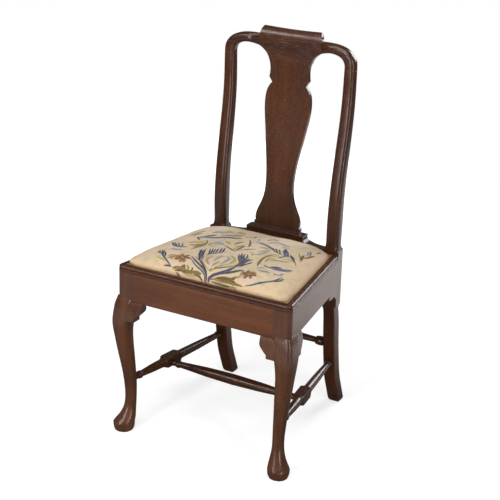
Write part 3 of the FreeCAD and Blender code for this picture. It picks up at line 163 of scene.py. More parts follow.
class CushionSettings(bpy.types.PropertyGroup):
    voxel: FloatProperty(
        name="Cloth mesh", description="Size of the cloth's faces", subtype="DISTANCE",
        min=0.0, default=5 * MM)
    pressure: FloatProperty(
        name="Pressure", description="Pressure of the stuffing", min=0.0, default=4.0)
    steps: IntProperty(
        name="Steps", description="Steps of the cloth simulation", min=1, default=20)
    most_swell: FloatProperty(
        name="Most swell", description="How far a point may move", subtype="DISTANCE",
        min=0.0, default=2.5 * MM)
    fullness: FloatProperty(
        name="Fullness", description="How steeply the sides of the crown rise", min=1.0,
        default=FULLNESS)
    start_share: FloatProperty(
        name="Start share", description="Height of the crown before it swells", subtype="FACTOR",
        min=0.0, max=1.0, default=START_SHARE)
    cloth_thickness: FloatProperty(
        name="Cloth thickness", description="Thickness of the cover", subtype="DISTANCE",
        min=0.0, default=0.8 * MM)


class NeedleworkSettings(bpy.types.PropertyGroup):
    linen_colour: colour_setting("Linen colour", "Colour of the ground cloth", (0.74, 0.54, 0.335))
    stitch_spacing: FloatProperty(
        name="Stitch spacing", description="Distance from stitch to stitch", subtype="DISTANCE",
        min=0.0, default=1.08 * MM)
    stitch_width: FloatProperty(
        name="Stitch width", description="Thickness of the wool", subtype="DISTANCE",
        min=0.0, default=1.25 * MM)
    slant: FloatProperty(
        name="Slant", description="Angle of the stitches to their line", subtype="ANGLE",
        default=math.radians(58))
    seed: IntProperty(name="Seed", description="Seed of the uneven stitches", default=7)


class StageSettings(bpy.types.PropertyGroup):
    azimuth: FloatProperty(
        name="Azimuth", description="Turn of the camera round the chair", subtype="ANGLE",
        default=PHOTO_AZIMUTH)
    elevation: FloatProperty(
        name="Elevation", description="Height of the camera as an angle", subtype="ANGLE",
        default=PHOTO_ELEVATION)
    roll: FloatProperty(
        name="Roll", description="Tilt of the camera", subtype="ANGLE", default=PHOTO_ROLL)
    distance: FloatProperty(
        name="Distance", description="Camera to the middle of the chair", subtype="DISTANCE",
        default=PHOTO_DISTANCE)
    lens: FloatProperty(
        name="Lens", description="Focal length in millimetres", default=PHOTO_LENS)
    front_power: power_setting("Front", 36.0)
    left_power: power_setting("Left", 21.0)
    side_power: power_setting("Side", 33.0)
    rear_power: power_setting("Rear", 52.0)
    top_power: power_setting("Top", 20.0)


# Shader values and materials

class Value:
    """A shader socket that takes part in sums."""

    def __init__(self, finish, socket):
        self.finish = finish
        self.socket = socket

    def math(self, operation, first, second=0.0):
        return self.finish.node("ShaderNodeMath", {"operation": operation}, {0: first, 1: second})

    def __add__(self, other):
        return self.math("ADD", self, other)

    def __radd__(self, other):
        return self.math("ADD", other, self)

    def __sub__(self, other):
        return self.math("SUBTRACT", self, other)

    def __rsub__(self, other):
        return self.math("SUBTRACT", other, self)

    def __mul__(self, other):
        return self.math("MULTIPLY", self, other)

    def __rmul__(self, other):
        return self.math("MULTIPLY", other, self)

    def __abs__(self):
        return self.math("ABSOLUTE", self)

    def sine(self):
        return self.math("SINE", self)

    def between(self, low, high):
        """0 below low, 1 above high and smooth from one to the other."""
        return self.finish.node(
            "ShaderNodeMapRange", {"interpolation_type": "SMOOTHSTEP"},
            {"Value": self, "From Min": low, "From Max": high})


class Finish:
    """A material and the nodes that make it."""

    def __init__(self, name):
        self.material = bpy.data.materials.new(name)
        self.material.use_nodes = True
        self.tree = self.material.node_tree
        self.tree.nodes.clear()

    def node(self, kind, settings=None, inputs=None, output=0):
        made = self.tree.nodes.new(kind)
        for name, value in (settings or {}).items():
            if name == "stops":
                for position, colour in value[2:]:
                    made.color_ramp.elements.new(position)
                for element, (position, colour) in zip(made.color_ramp.elements, value):
                    element.position = position
                    element.color = (*colour, 1.0)
            else:
                setattr(made, name, value)
        for key, value in (inputs or {}).items():
            if isinstance(value, Value):
                self.tree.links.new(value.socket, made.inputs[key])
            else:
                made.inputs[key].default_value = value
        return Value(self, made.outputs[output])

    def place(self):
        return self.node("ShaderNodeTexCoord", output="Object")

    def along(self, axis, vector=None):
        """One coordinate of the place or of another vector."""
        return self.node("ShaderNodeSeparateXYZ", {}, {0: vector or self.place()}, axis)

    def scaled(self, vector, factors):
        return self.node("ShaderNodeVectorMath", {"operation": "MULTIPLY"}, {0: vector, 1: factors})

    def noise(self, vector, factors, detail=2.0, rough=0.5, bend=0.0):
        return self.node("ShaderNodeTexNoise", {}, {
            "Vector": self.scaled(vector, factors), "Scale": 1.0, "Detail": detail,
            "Roughness": rough, "Distortion": bend})

    def mix(self, factor, first, second, mode="MIX"):
        return self.node("ShaderNodeMix", {"data_type": "RGBA", "blend_type": mode},
                         {0: factor, 6: first, 7: second}, 2)

    def bump(self, height, distance, normal=None):
        inputs = {"Height": height, "Distance": distance, "Strength": 1.0}
        if normal:
            inputs["Normal"] = normal
        return self.node("ShaderNodeBump", {}, inputs)

    def surface(self, **sockets):
        shader = self.node("ShaderNodeBsdfPrincipled", {},
                           {name.replace("_", " "): value for name, value in sockets.items()})
        self.show(shader)
        return self.material

    def show(self, shader):
        """Ends the material with a shader."""
        end = self.tree.nodes.new("ShaderNodeOutputMaterial")
        self.tree.links.new(shader.socket, end.inputs["Surface"])


def opaque(colour):
    return (*colour[:3], 1.0)


def toned(colour, share):
    return tuple(channel * share for channel in colour)


def polished_wood(settings, axis, tone):
    """Old waxed wood with long grain along one axis, fine pores and rubbed edges."""
    name = "polished_%s_along_%s" % (tone, axis.lower())
    if name in bpy.data.materials:
        return bpy.data.materials[name]
    finish = Finish(name)
    offset = 0.37 * (1 + sorted(TONES).index(tone))
    grain = finish.node("ShaderNodeMapping", {}, {
        "Vector": finish.place(), "Rotation": GRAIN_TURNS[axis],
        "Location": (offset, 1.7 * offset, 0.4 * offset)})
    figure = finish.noise(grain, (15, 15, 1.7), 4.0, 0.55, 0.9)
    streak = finish.noise(grain, (95, 95, 2.6), 4.0, 0.6, 0.2)
    fibre = finish.noise(grain, (640, 640, 15), 2.0)
    pore = finish.noise(grain, (1150, 1150, 48), 1.0).between(0.60, 0.70)
    blotch = finish.noise(finish.place(), (9, 9, 9), 3.0)
    # The group's tone; for the legs it holds a painted reflection, a grey sheen.
    deep, body, warm = (tuple(channel * share for channel, share in zip(colour, TONES[tone]))
                        for colour in (settings.deep_colour, settings.body_colour, settings.warm_colour))
    mix = figure * 0.5 + streak * 0.36 + fibre * 0.14
    wood = finish.node("ShaderNodeValToRGB", {"stops": [
        (0.34, deep), (0.47, body), (0.56, toned(body, 1.2)), (0.68, warm)]}, {"Fac": mix})
    wood = finish.mix(pore * 0.45, wood, opaque(toned(deep, 0.6)))
    wood = finish.mix(blotch.between(0.40, 0.70) * 0.5, wood, opaque(toned(deep, 1.6)))
    # Painted shade: the wood is darker just above the seat, where the back and posts meet it.
    level = finish.along("Z")
    seat_shade = level.between(*SEAT_SHADE_BEGINS) * (1 - level.between(*SEAT_SHADE_ENDS))
    wood = finish.mix(seat_shade * 0.6, wood, opaque(deep))
    rounded = finish.node("ShaderNodeBevel", {"samples": 6}, {"Radius": settings.edge_radius})
    true_normal = finish.node("ShaderNodeNewGeometry", output="True Normal")
    facing = finish.node("ShaderNodeVectorMath", {"operation": "DOT_PRODUCT"},
                         {0: rounded, 1: true_normal}, "Value")
    rub = finish.noise(finish.place(), (60, 60, 60), 3.0).between(0.35, 0.65)
    worn = (1 - facing).between(0.05, 0.35) * rub
    wood = finish.mix(worn * settings.wear, wood, opaque(toned(settings.warm_colour, 1.25)))
    dents = finish.noise(finish.place(), (38, 38, 38), 2.0)
    scratches = finish.noise(grain, (420, 420, 30), 3.0, 0.7).between(0.66, 0.74)
    height = dents * 0.5 + fibre * 0.06 - pore * 0.16 - scratches * 0.08
    rough = settings.polish + blotch * 0.12 + pore * 0.2 + scratches * 0.1 + worn * 0.08
    return finish.surface(
        Base_Color=wood, Roughness=rough, IOR=1.5, Normal=finish.bump(height, 0.45 * MM, rounded))


def plain_wood(axis):
    """Unpolished secondary wood with saw marks and old dirt."""
    finish = Finish("plain_wood_along_%s" % axis.lower())
    grain = finish.node("ShaderNodeMapping", {}, {
        "Vector": finish.place(), "Rotation": GRAIN_TURNS[axis], "Location": (0.3, 0.9, 0.1)})
    ring = finish.noise(grain, (70, 70, 2.4), 4.0, 0.55, 0.7)
    fibre = finish.noise(grain, (900, 900, 18), 2.0)
    dirt = finish.noise(finish.place(), (22, 22, 22), 4.0, 0.6).between(0.4, 0.75)
    sawn = finish.noise(grain, (12, 12, 420), 2.0, 0.6)
    wood = finish.node("ShaderNodeValToRGB", {"stops": [
        (0.32, (0.165, 0.088, 0.038)), (0.52, (0.30, 0.178, 0.084)), (0.7, (0.42, 0.275, 0.145))]},
        {"Fac": ring * 0.72 + fibre * 0.28})
    wood = finish.mix(dirt * 0.55, wood, (0.085, 0.05, 0.028, 1.0))
    return finish.surface(
        Base_Color=wood, Roughness=0.66 + fibre * 0.2, IOR=1.45,
        Normal=finish.bump(fibre * 0.4 + sawn * 0.5, 0.35 * MM))


def forged_iron():
    finish = Finish("forged_iron")
    rust = finish.noise(finish.place(), (900, 900, 900), 4.0, 0.6).between(0.42, 0.62)
    scale = finish.noise(finish.place(), (2600, 2600, 2600), 2.0)
    colour = finish.mix(rust, (0.028, 0.026, 0.025, 1.0), (0.115, 0.042, 0.018, 1.0))
    return finish.surface(
        Base_Color=colour, Metallic=0.85 - rust * 0.8, Roughness=0.42 + rust * 0.4,
        Normal=finish.bump(scale + rust, 0.12 * MM))


def weave(finish, vector, threads):
    """Height of a plain weave: over and under, with threads each metre."""
    parts = finish.scaled(vector, (threads * math.pi,) * 3)
    warp = finish.along("X", parts).sine()
    weft = finish.along("Y", parts).sine()
    return abs(warp) * 0.5 + abs(weft) * 0.5 + warp * weft * 0.35


def linen_ground(settings):
    """Cream linen twill with faded washes inside a plain border."""
    finish = Finish("needlework_linen")
    place = finish.place()
    x = finish.along("X")
    y = finish.along("Y")
    twill = ((x + y) * (2 * math.pi * TWILL_RIBS)).sine() * 0.5 + 0.5
    cross = ((x - y) * (2 * math.pi * CROSS_THREADS)).sine() * 0.5 + 0.5
    yarn = finish.noise(place, (700, 700, 700), 3.0)
    behind = y - FRONT_FACE
    side = (abs(x) + behind * SIDE_TAPER).between(*BORDER_SIDES)
    front = 1 - behind.between(*BORDER_FRONT)
    inside = 1 - side.math("MAXIMUM", side, front)
    wash = finish.noise(place, (30, 30, 30), 3.0, 0.55, 1.2)
    tints = finish.node("ShaderNodeValToRGB", {"stops": [
        (0.30, (0.47, 0.51, 0.50)), (0.40, (0.70, 0.60, 0.27)), (0.47, (0.75, 0.62, 0.42)),
        (0.54, (0.78, 0.55, 0.39)), (0.61, (0.70, 0.60, 0.50)), (0.70, (0.46, 0.53, 0.56))]},
        {"Fac": wash})
    dusk = finish.noise(place, (55, 55, 55), 3.0, 0.6)
    colour = finish.mix(inside * 0.8, opaque(settings.linen_colour), tints)
    colour = finish.mix(dusk.between(0.45, 0.75) * 0.35, colour, (0.40, 0.27, 0.14, 1.0))
    # Painted shade in the twill's grooves, and uneven yarn darker at random.
    colour = finish.mix((1 - twill) * 0.16 + yarn * 0.12, colour, (0.34, 0.23, 0.12, 1.0))
    # Darker towards the bottom: below the lip's top and just above it.
    low = 1 - finish.along("Z").between(*LINEN_DARKER_LEVELS)
    colour = finish.mix(low * 0.45, colour, (0.25, 0.15, 0.07, 1.0))
    height = twill * 0.5 + cross * 0.22 + yarn * 0.5
    return finish.surface(
        Base_Color=colour, Roughness=0.86, IOR=1.4, Sheen_Weight=0.25, Sheen_Roughness=0.5,
        Normal=finish.bump(height, 0.28 * MM))


def crewel_wool():
    """Wool thread in the colour that each stitch carries."""
    finish = Finish("crewel_wool")
    thread = finish.node("ShaderNodeAttribute", {"attribute_name": "thread"}, output="Color")
    place = finish.place()
    fade = finish.noise(place, (130, 130, 130), 3.0)
    fuzz = finish.noise(place, (2400, 2400, 2400), 2.0)
    colour = finish.mix(fade * 0.2, thread, (0.52, 0.42, 0.30, 1.0))
    # Painted shade between the wool's fibres, where its fuzz is low.
    colour = finish.mix((1 - fuzz) * 0.3, colour, (0.02, 0.02, 0.025, 1.0), "MULTIPLY")
    return finish.surface(
        Base_Color=colour, Roughness=0.9, IOR=1.3, Sheen_Weight=0.08, Sheen_Roughness=0.4,
        Normal=finish.bump(fuzz, 0.2 * MM))


def woven_cloth(name, dark, light, threads, striped):
    """Jute or hemp cloth in a plain weave that follows the piece's own map."""
    finish = Finish(name)
    flat = finish.node("ShaderNodeUVMap", {"uv_map": "weave"})
    height = weave(finish, flat, threads)
    slub = finish.noise(flat, (180, 900, 1), 3.0)
    # Painted light and shade: the weave's raised threads are paler and its hollows darker; slubs vary it
    # too.
    colour = finish.mix(height * 0.6 + slub * 0.5, opaque(dark), opaque(light))
    if striped:
        stripe = 1 - abs(abs(finish.along("Y", flat)) - STRIPE_PLACE).between(*STRIPE_HALVES)
        colour = finish.mix(stripe * 0.8, colour, (0.07, 0.035, 0.03, 1.0))
    stain = finish.noise(flat, (30, 30, 1), 4.0).between(0.45, 0.8)
    colour = finish.mix(stain * 0.45, colour, opaque(toned(dark, 0.5)))
    return finish.surface(
        Base_Color=colour, Roughness=0.93, IOR=1.4, Sheen_Weight=0.15,
        Normal=finish.bump(height + slub * 0.4, 0.35 * MM))


def camera_view(azimuth, elevation, roll, distance):
    """Place of a camera aimed at the chair, and its directions right, up and back."""
    back = Vector((math.sin(azimuth) * math.cos(elevation), -math.cos(azimuth) * math.cos(elevation),
                   math.sin(elevation)))
    level = (-back).cross(Vector((0, 0, 1))).normalized()
    upright = level.cross(-back)
    right = math.cos(roll) * level + math.sin(roll) * upright
    up = -math.sin(roll) * level + math.cos(roll) * upright
    return CAMERA_TARGET + back * distance, right, up, back


# Mesh helpers

def new_piece(name, mesh, material, body):
    """Puts a mesh in the scene as a piece of a body."""
    piece = bpy.data.objects.new(name, mesh)
    bpy.context.scene.collection.objects.link(piece)
    mesh.materials.clear()
    mesh.materials.append(material)
    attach(piece, body)
    return piece


def joined_mesh(node, name):
    """Copy of a solid's mesh with its triangles joined."""
    mesh = NODES[node].data.copy()
    mesh.name = name
    work = bmesh.new()
    work.from_mesh(mesh)
    bmesh.ops.remove_doubles(work, verts=work.verts, dist=0.002 * MM)
    bmesh.ops.dissolve_degenerate(work, dist=0.002 * MM, edges=work.edges)
    work.to_mesh(mesh)
    work.free()
    for attribute in [item for item in mesh.attributes if item.name == "custom_normal"]:
        mesh.attributes.remove(attribute)
    mesh.shade_smooth()
    mesh.set_sharp_from_angle(angle=math.radians(38))
    return mesh


def polish_pieces(context, group):
    """Dresses a group's solids as smooth-shaded pieces in their own grain."""
    for node, (axis, tone) in group.items():
        material = polished_wood(context.scene.side_chair_wood, axis, tone)
        piece = new_piece(node + "_polished", joined_mesh(node, node + "_polished"),
                          material, "chair")
        piece.modifiers.new("even shading", "WEIGHTED_NORMAL").keep_sharp = True
        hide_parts(node)


def smooth_line(points, steps):
    """Points along a smooth curve through the given ones."""
    ends = [2 * points[0] - points[1]] + points + [2 * points[-1] - points[-2]]
    line = []
    for before, start, end, after in zip(ends, ends[1:], ends[2:], ends[3:]):
        for step in range(steps):
            t = step / steps
            line.append(0.5 * (2 * start + (end - before) * t
                               + (2 * before - 5 * start + 4 * end - after) * t ** 2
                               + (3 * start - before - 3 * end + after) * t ** 3))
    return line + [points[-1]]


def finished_mesh(work, name):
    """Mesh made of the work, which is then put away."""
    mesh = bpy.data.meshes.new(name)
    work.to_mesh(mesh)
    work.free()
    return mesh


def add_cloth_faces(work, rows):
    """Faces between rows of points, mapped by the place of each point on the flat cloth."""
    flat = work.loops.layers.uv["weave"]
    for first, second in zip(rows, rows[1:]):
        for left in range(len(first) - 1):
            corners = (first[left], first[left + 1], second[left + 1], second[left])
            face = work.faces.new([vertex for vertex, place in corners])
            for loop, (vertex, place) in zip(face.loops, corners):
                loop[flat].uv = place


def thicken(piece, thickness, offset):
    """Gives a sheet its thickness: to both sides at offset 0, inwards at -1."""
    wall = piece.modifiers.new("thickness", "SOLIDIFY")
    wall.thickness = thickness
    wall.offset = offset


def rear_half_width(node):
    """Half the width of a solid at its rear edge."""
    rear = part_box(node)[1].y - 1 * MM
    return max(abs(vertex.co.x) for vertex in NODES[node].data.vertices if vertex.co.y > rear)


def baked_modifiers(piece):
    """The piece's mesh as its modifiers leave it."""
    graph = bpy.context.evaluated_depsgraph_get()
    return bpy.data.meshes.new_from_object(piece.evaluated_get(graph), depsgraph=graph)


# Wooden frame

class CHAIR_OT_seat_frame(bpy.types.Operator):
    """Polish the seat rails, their lip mouldings and the rear brackets"""
    bl_idname = "side_chair.seat_frame"
    bl_label = "Seat frame"

    def execute(self, context):
        polish_pieces(context, SEAT_FRAME)
        return {"FINISHED"}


class CHAIR_OT_front_legs(bpy.types.Operator):
    """Polish the cabriole legs and their knee brackets"""
    bl_idname = "side_chair.front_legs"
    bl_label = "Front legs"

    def execute(self, context):
        polish_pieces(context, FRONT_LEGS)
        return {"FINISHED"}


class CHAIR_OT_back(bpy.types.Operator):
    """Polish the rear posts, crest rail, splat and shoe"""
    bl_idname = "side_chair.back"
    bl_label = "Back"

    def execute(self, context):
        polish_pieces(context, BACK)
        return {"FINISHED"}


class CHAIR_OT_stretchers(bpy.types.Operator):
    """Polish the turned stretchers"""
    bl_idname = "side_chair.stretchers"
    bl_label = "Stretchers"

    def execute(self, context):
        polish_pieces(context, STRETCHERS)
        return {"FINISHED"}


class CHAIR_OT_plain_woodwork(bpy.types.Operator):
    """Finish the corner blocks, the slip seat's frame and its tacks"""
    bl_idname = "side_chair.plain_woodwork"
    bl_label = "Plain woodwork"

    def execute(self, context):
        across = plain_wood("X")
        along = plain_wood("Y")
        upright = plain_wood("Z")
        for node in SLIP_FRAME:
            self.finish(node, along if node.endswith(("left", "right")) else across)
        for node in CORNER_BLOCKS:
            self.finish(node, upright)
        self.finish("cover_tacks", forged_iron())
        return {"FINISHED"}

    def finish(self, node, material):
        mesh = NODES[node].data
        mesh.materials.clear()
        mesh.materials.append(material)


# Underside of the slip seat

STRAP_THICKNESS = 0.5 * MM
STRAP_HALF_WIDTH = 25 * MM
STRAP_ROWS = 96
STRAP_COLUMNS = 4
STRAP_PLACE_SHARES = (0.2, 0.5, 0.8)
SACK_THICKNESS = 0.4 * MM
SACK_UNEVENNESS = 0.12 * MM
SACK_ROWS = 40
SACK_COLUMNS = 26


def strap_mesh(name, start, end, crossings, phase):
    """Webbing strap that passes over and under those that cross it."""
    direction = (end - start).normalized()
    across = Vector((direction.y, -direction.x, 0.0))
    length = (end - start).length
    work = bmesh.new()
    work.loops.layers.uv.new("weave")
    rows = []
    for step in range(STRAP_ROWS + 1):
        distance = length * step / STRAP_ROWS
        rise = 0.0
        for number, crossing in enumerate(crossings):
            away = min(1.0, abs(distance - crossing) / (1.5 * STRAP_HALF_WIDTH))
            rise += 0.5 * STRAP_THICKNESS * (math.cos(away * math.pi) + 1) * (-1) ** (number + phase)
        centre = start + direction * distance + Vector((0, 0, rise))
        sides = [STRAP_HALF_WIDTH * side / STRAP_COLUMNS
                 for side in range(-STRAP_COLUMNS, STRAP_COLUMNS + 1)]
        rows.append([(work.verts.new(centre + across * side), (distance, side)) for side in sides])
    add_cloth_faces(work, rows)
    return finished_mesh(work, name)


class CHAIR_OT_webbing(bpy.types.Operator):
    """Weave the webbing straps under the seat"""
    bl_idname = "side_chair.webbing"
    bl_label = "Webbing"

    def execute(self, context):
        low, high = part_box("webbing")
        level = (low.z + high.z) / 2
        depth = high.y - low.y
        rear_half = rear_half_width("webbing")
        slope = (high.x - rear_half) / depth
        places = [low.y + depth * share for share in STRAP_PLACE_SHARES]
        columns = [(2 * share - 1) * rear_half for share in STRAP_PLACE_SHARES]
        material = woven_cloth("jute_webbing", (0.20, 0.125, 0.06), (0.47, 0.35, 0.20), 620, True)
        straps = []
        for number, y in enumerate(places):
            half = high.x - (y - low.y) * slope - 1 * MM
            straps.append(("cross_strap_%d" % (number + 1), Vector((-half, y, level)),
                           Vector((half, y, level)), [half + x for x in columns], number))
        for number, x in enumerate(columns):
            straps.append(("long_strap_%d" % (number + 1), Vector((x, low.y + 1 * MM, level)),
                           Vector((x, high.y - 1 * MM, level)), [y - low.y for y in places], number + 1))
        pieces = []
        for name, *course in straps:
            pieces.append(new_piece(name, strap_mesh(name, *course), material, "slip_seat"))
            thicken(pieces[-1], STRAP_THICKNESS, 0.0)
        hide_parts("webbing")
        return {"FINISHED"}


class CHAIR_OT_sackcloth(bpy.types.Operator):
    """Stretch the sackcloth over the webbing"""
    bl_idname = "side_chair.sackcloth"
    bl_label = "Sackcloth"

    def execute(self, context):
        low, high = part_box("sackcloth")
        rear_half = rear_half_width("sackcloth")
        work = bmesh.new()
        work.loops.layers.uv.new("weave")
        chance = random.Random(3)
        rows = []
        for row in range(SACK_ROWS + 1):
            y = low.y + (high.y - low.y) * row / SACK_ROWS
            half = high.x + (rear_half - high.x) * row / SACK_ROWS
            line = []
            for column in range(-SACK_COLUMNS, SACK_COLUMNS + 1):
                x = half * column / SACK_COLUMNS
                level = (low.z + high.z) / 2 + chance.uniform(-1, 1) * SACK_UNEVENNESS
                line.append((work.verts.new((x, y, level)), (x, y)))
            rows.append(line)
        add_cloth_faces(work, rows)
        mesh = finished_mesh(work, "sackcloth_sheet")
        mesh.shade_smooth()
        material = woven_cloth("hemp_sackcloth", (0.17, 0.11, 0.055), (0.40, 0.29, 0.165), 900, False)
        piece = new_piece("sackcloth_sheet", mesh, material, "slip_seat")
        thicken(piece, SACK_THICKNESS, 0.0)
        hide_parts("sackcloth")
        return {"FINISHED"}


# Cushion

# How far the side of the seat bulges out over the lip at the left, and further at its front
# corner, how far it rises there, and how far the front bulges, from this far back.
LEFT_BULGE = 12 * MM
CORNER_BULGE = 6 * MM
LEFT_RISE = 3.5 * MM
FRONT_BULGE = 3.5 * MM
FRONT_DEPTH = 34 * MM

# Settings of the simulated cover, by Blender's names for them.
CLOTH = {
    "quality": 6, "mass": 0.25, "tension_stiffness": 18, "compression_stiffness": 18,
    "bending_stiffness": 0.6, "use_pressure": True, "vertex_group_mass": "held"}


def full_level(level, foot, rise, start_share, fullness):
    """Height of the pad where the solid's crown, from foot up by rise, has this level."""
    flat = min(1.0, max(0.0, 1 - (level - foot) / rise))
    return foot + rise * start_share * (1 - flat ** fullness)


def pad_mesh(settings):
    """Closed pad in the seat's outline, down to the foot of the slip frame."""
    mesh = joined_mesh("seat_stuffing", "needlework_cushion")
    for vertex in mesh.vertices:
        if vertex.co.z < PAD_SIDE:
            vertex.co.z = COVER_LOW.z + 0.6 * MM
        else:
            vertex.co.z = full_level(
                vertex.co.z, PAD_SIDE, PAD_CROWN, settings.start_share, settings.fullness)
    return mesh


def swell(pad, settings):
    """Inflates the pad as cloth; its sides stay held to the slip frame."""
    held = pad.vertex_groups.new(name="held")
    grip = LIP_TOP - 1 * MM
    held.add([v.index for v in pad.data.vertices if v.co.z < grip], 1.0, "REPLACE")
    cloth = pad.modifiers.new("swell", "CLOTH")
    for name, value in CLOTH.items():
        setattr(cloth.settings, name, value)
    cloth.settings.uniform_pressure_force = settings.pressure
    cloth.settings.effector_weights.gravity = 0.0
    cloth.point_cache.frame_start = 1
    cloth.point_cache.frame_end = settings.steps
    start = [v.co.copy() for v in pad.data.vertices]
    for step in range(1, settings.steps + 1):
        bpy.context.scene.frame_set(step)
    swollen = baked_modifiers(pad)
    for vertex, before in zip(swollen.vertices, start):
        move = vertex.co - before
        if move.length > settings.most_swell:
            vertex.co = before + move * (settings.most_swell / move.length)
    pad.modifiers.remove(cloth)
    pad.data = swollen
    bpy.context.scene.frame_set(1)


class CHAIR_OT_cushion(bpy.types.Operator):
    """Stuff the seat and draw the linen cover over it"""
    bl_idname = "side_chair.cushion"
    bl_label = "Cushion"

    def execute(self, context):
        settings = context.scene.side_chair_cushion
        material = linen_ground(context.scene.side_chair_needlework)
        pad = bpy.data.objects.new("needlework_cushion", pad_mesh(settings))
        context.scene.collection.objects.link(pad)
        remesh = pad.modifiers.new("even faces", "REMESH")
        remesh.mode = "VOXEL"
        remesh.voxel_size = settings.voxel
        even = baked_modifiers(pad)
        pad.modifiers.remove(remesh)
        pad.data = even
        swell(pad, settings)
        self.overhang(pad.data)
        self.pucker(pad.data)
        self.open_underside(pad.data)
        mesh = pad.data
        bpy.data.objects.remove(pad)
        cushion = new_piece("needlework_cushion", mesh, material, "slip_seat")
        mesh.shade_smooth()
        finer = cushion.modifiers.new("finer", "SUBSURF")
        finer.levels = finer.render_levels = 1
        thicken(cushion, settings.cloth_thickness, -1.0)
        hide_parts("needlework_cover", "seat_stuffing")
        return {"FINISHED"}

    def overhang(self, mesh):
        """Bulges the front forwards, and the left side out over the lip and up."""
        for vertex in mesh.vertices:
            share = (vertex.co.z - LIP_TOP - 1 * MM) / (COVER_HIGH.z - LIP_TOP)
            if 0 < share < 1:
                behind = vertex.co.y - COVER_LOW.y
                half = COVER_HIGH.x - behind * SIDE_TAPER
                edge = min(1.0, max(0.0, abs(vertex.co.x) / half - 0.8) / 0.16)
                full = math.sin(math.pi * share ** 0.5)
                front = max(0.0, 1 - behind / FRONT_DEPTH)
                if vertex.co.x < 0:
                    vertex.co.x -= (LEFT_BULGE + CORNER_BULGE * front) * edge * full
                    vertex.co.z += LEFT_RISE * edge * math.sin(math.pi * share ** 0.7)
                    front *= 1 + 1.6 * edge
                vertex.co.y -= FRONT_BULGE * front * full

    def pucker(self, mesh):
        """Small pulls of the cloth towards its tacks, and an uneven crown."""
        centre = (COVER_LOW + COVER_HIGH) / 2
        for vertex in mesh.vertices:
            if vertex.co.z < LIP_TOP:
                continue
            x, y = vertex.co.xy
            side = max(abs(x) / COVER_HIGH.x, abs(y - centre.y) / (COVER_HIGH.y - centre.y))
            pull = max(0.0, side - 0.82) / 0.18 * math.cos((x + y) * 160) ** 2
            small = math.sin(x * 78) * math.sin(y * 91)
            large = math.sin(x * 23 + 1.1) * math.cos(y * 19)
            vertex.co.z += (0.35 * small - 0.5 * pull) * MM
            vertex.co.z += 0.6 * MM * large

    def open_underside(self, mesh):
        """Takes away the bottom, where the cloth is turned under instead."""
        work = bmesh.new()
        work.from_mesh(mesh)
        bottom = [face for face in work.faces
                  if face.calc_center_median().z < COVER_LOW.z + 2.2 * MM and face.normal.z < -0.5]
        bmesh.ops.delete(work, geom=bottom, context="FACES")
        work.to_mesh(mesh)
        work.free()


# Rings of the turned edge, from the side of the frame inwards: how far in, and how high.
TURNED_RINGS = ((0.9 * MM, 1.5 * MM), (1.2 * MM, 0.5 * MM), (2.4 * MM, 0.0), (9 * MM, 0.0),
                (17 * MM, 0.0), (25 * MM, 0.0))
TURNED_STEPS = 24


class CHAIR_OT_turned_edge(bpy.types.Operator):
    """Turn the cover's edge under the slip frame"""
    bl_idname = "side_chair.turned_edge"
    bl_label = "Turned edge"

    def execute(self, context):
        material = linen_ground(context.scene.side_chair_needlework)
        rear_half = rear_half_width("needlework_cover")
        corners = [Vector((-COVER_HIGH.x, COVER_LOW.y, 0)), Vector((COVER_HIGH.x, COVER_LOW.y, 0)),
                   Vector((rear_half, COVER_HIGH.y, 0)), Vector((-rear_half, COVER_HIGH.y, 0))]
        middle = sum(corners, Vector()) / 4
        chance = random.Random(11)
        work = bmesh.new()
        rings = []
        for inset, rise in TURNED_RINGS:
            ring = []
            for start, end in zip(corners, corners[1:] + corners[:1]):
                edge = (end - start).normalized()
                normal = Vector((-edge.y, edge.x, 0))
                inward = Vector((-math.copysign(1, start.x), math.copysign(1, middle.y - start.y), 0))
                for step in range(TURNED_STEPS):
                    place = start.lerp(end, step / TURNED_STEPS)
                    place += (normal if step else inward) * inset
                    if (inset, rise) == TURNED_RINGS[-1]:
                        place += normal * chance.uniform(-1.4, 0.4) * MM
                    level = COVER_LOW.z + rise + 0.15 * MM + chance.uniform(0, 0.1) * MM
                    ring.append(work.verts.new((place.x, place.y, level)))
            rings.append(ring)
        for first, second in zip(rings, rings[1:]):
            for left in range(len(first)):
                right = (left + 1) % len(first)
                work.faces.new((first[right], first[left], second[left], second[right]))
        bmesh.ops.recalc_face_normals(work, faces=work.faces)
        mesh = finished_mesh(work, "turned_edge")
        mesh.shade_smooth()
        if sum(polygon.normal.z for polygon in mesh.polygons) > 0:
            mesh.flip_normals()
        piece = new_piece("turned_edge", mesh, material, "slip_seat")
        thicken(piece, context.scene.side_chair_cushion.cloth_thickness, -1.0)
        return {"FINISHED"}


# Crewelwork

THREADS = {
    "navy": (0.024, 0.038, 0.095),
    "slate": (0.085, 0.125, 0.20),
    "steel": (0.17, 0.215, 0.26),
    "mist": (0.36, 0.40, 0.40),
    "lilac": (0.20, 0.17, 0.27),
    "plum": (0.115, 0.06, 0.075),
    "bark": (0.13, 0.075, 0.035),
    "rust": (0.26, 0.115, 0.045),
    "ochre": (0.42, 0.24, 0.09),
    "straw": (0.52, 0.40, 0.16),
    "olive": (0.24, 0.19, 0.05),
    "moss": (0.12, 0.105, 0.04),
    "blush": (0.55, 0.36, 0.25),
}

# The strokes and flowers were picked in an enlarged crop of the photograph's seat: the
# crop's left and top edges in the photograph, and its pixels to one of the photograph's.
CROP_LEFT = 150
CROP_TOP = 228
ENLARGED = 10

# The seat for the picked points, in millimetres. These are back from the front rail's face,
# but for half the width at that face.
SEAT_BEGINS = 15
CROWN_BEGINS = 17
CROWN_ENDS = 390
SEAT_HALF = 234 + 18 * SIDE_TAPER

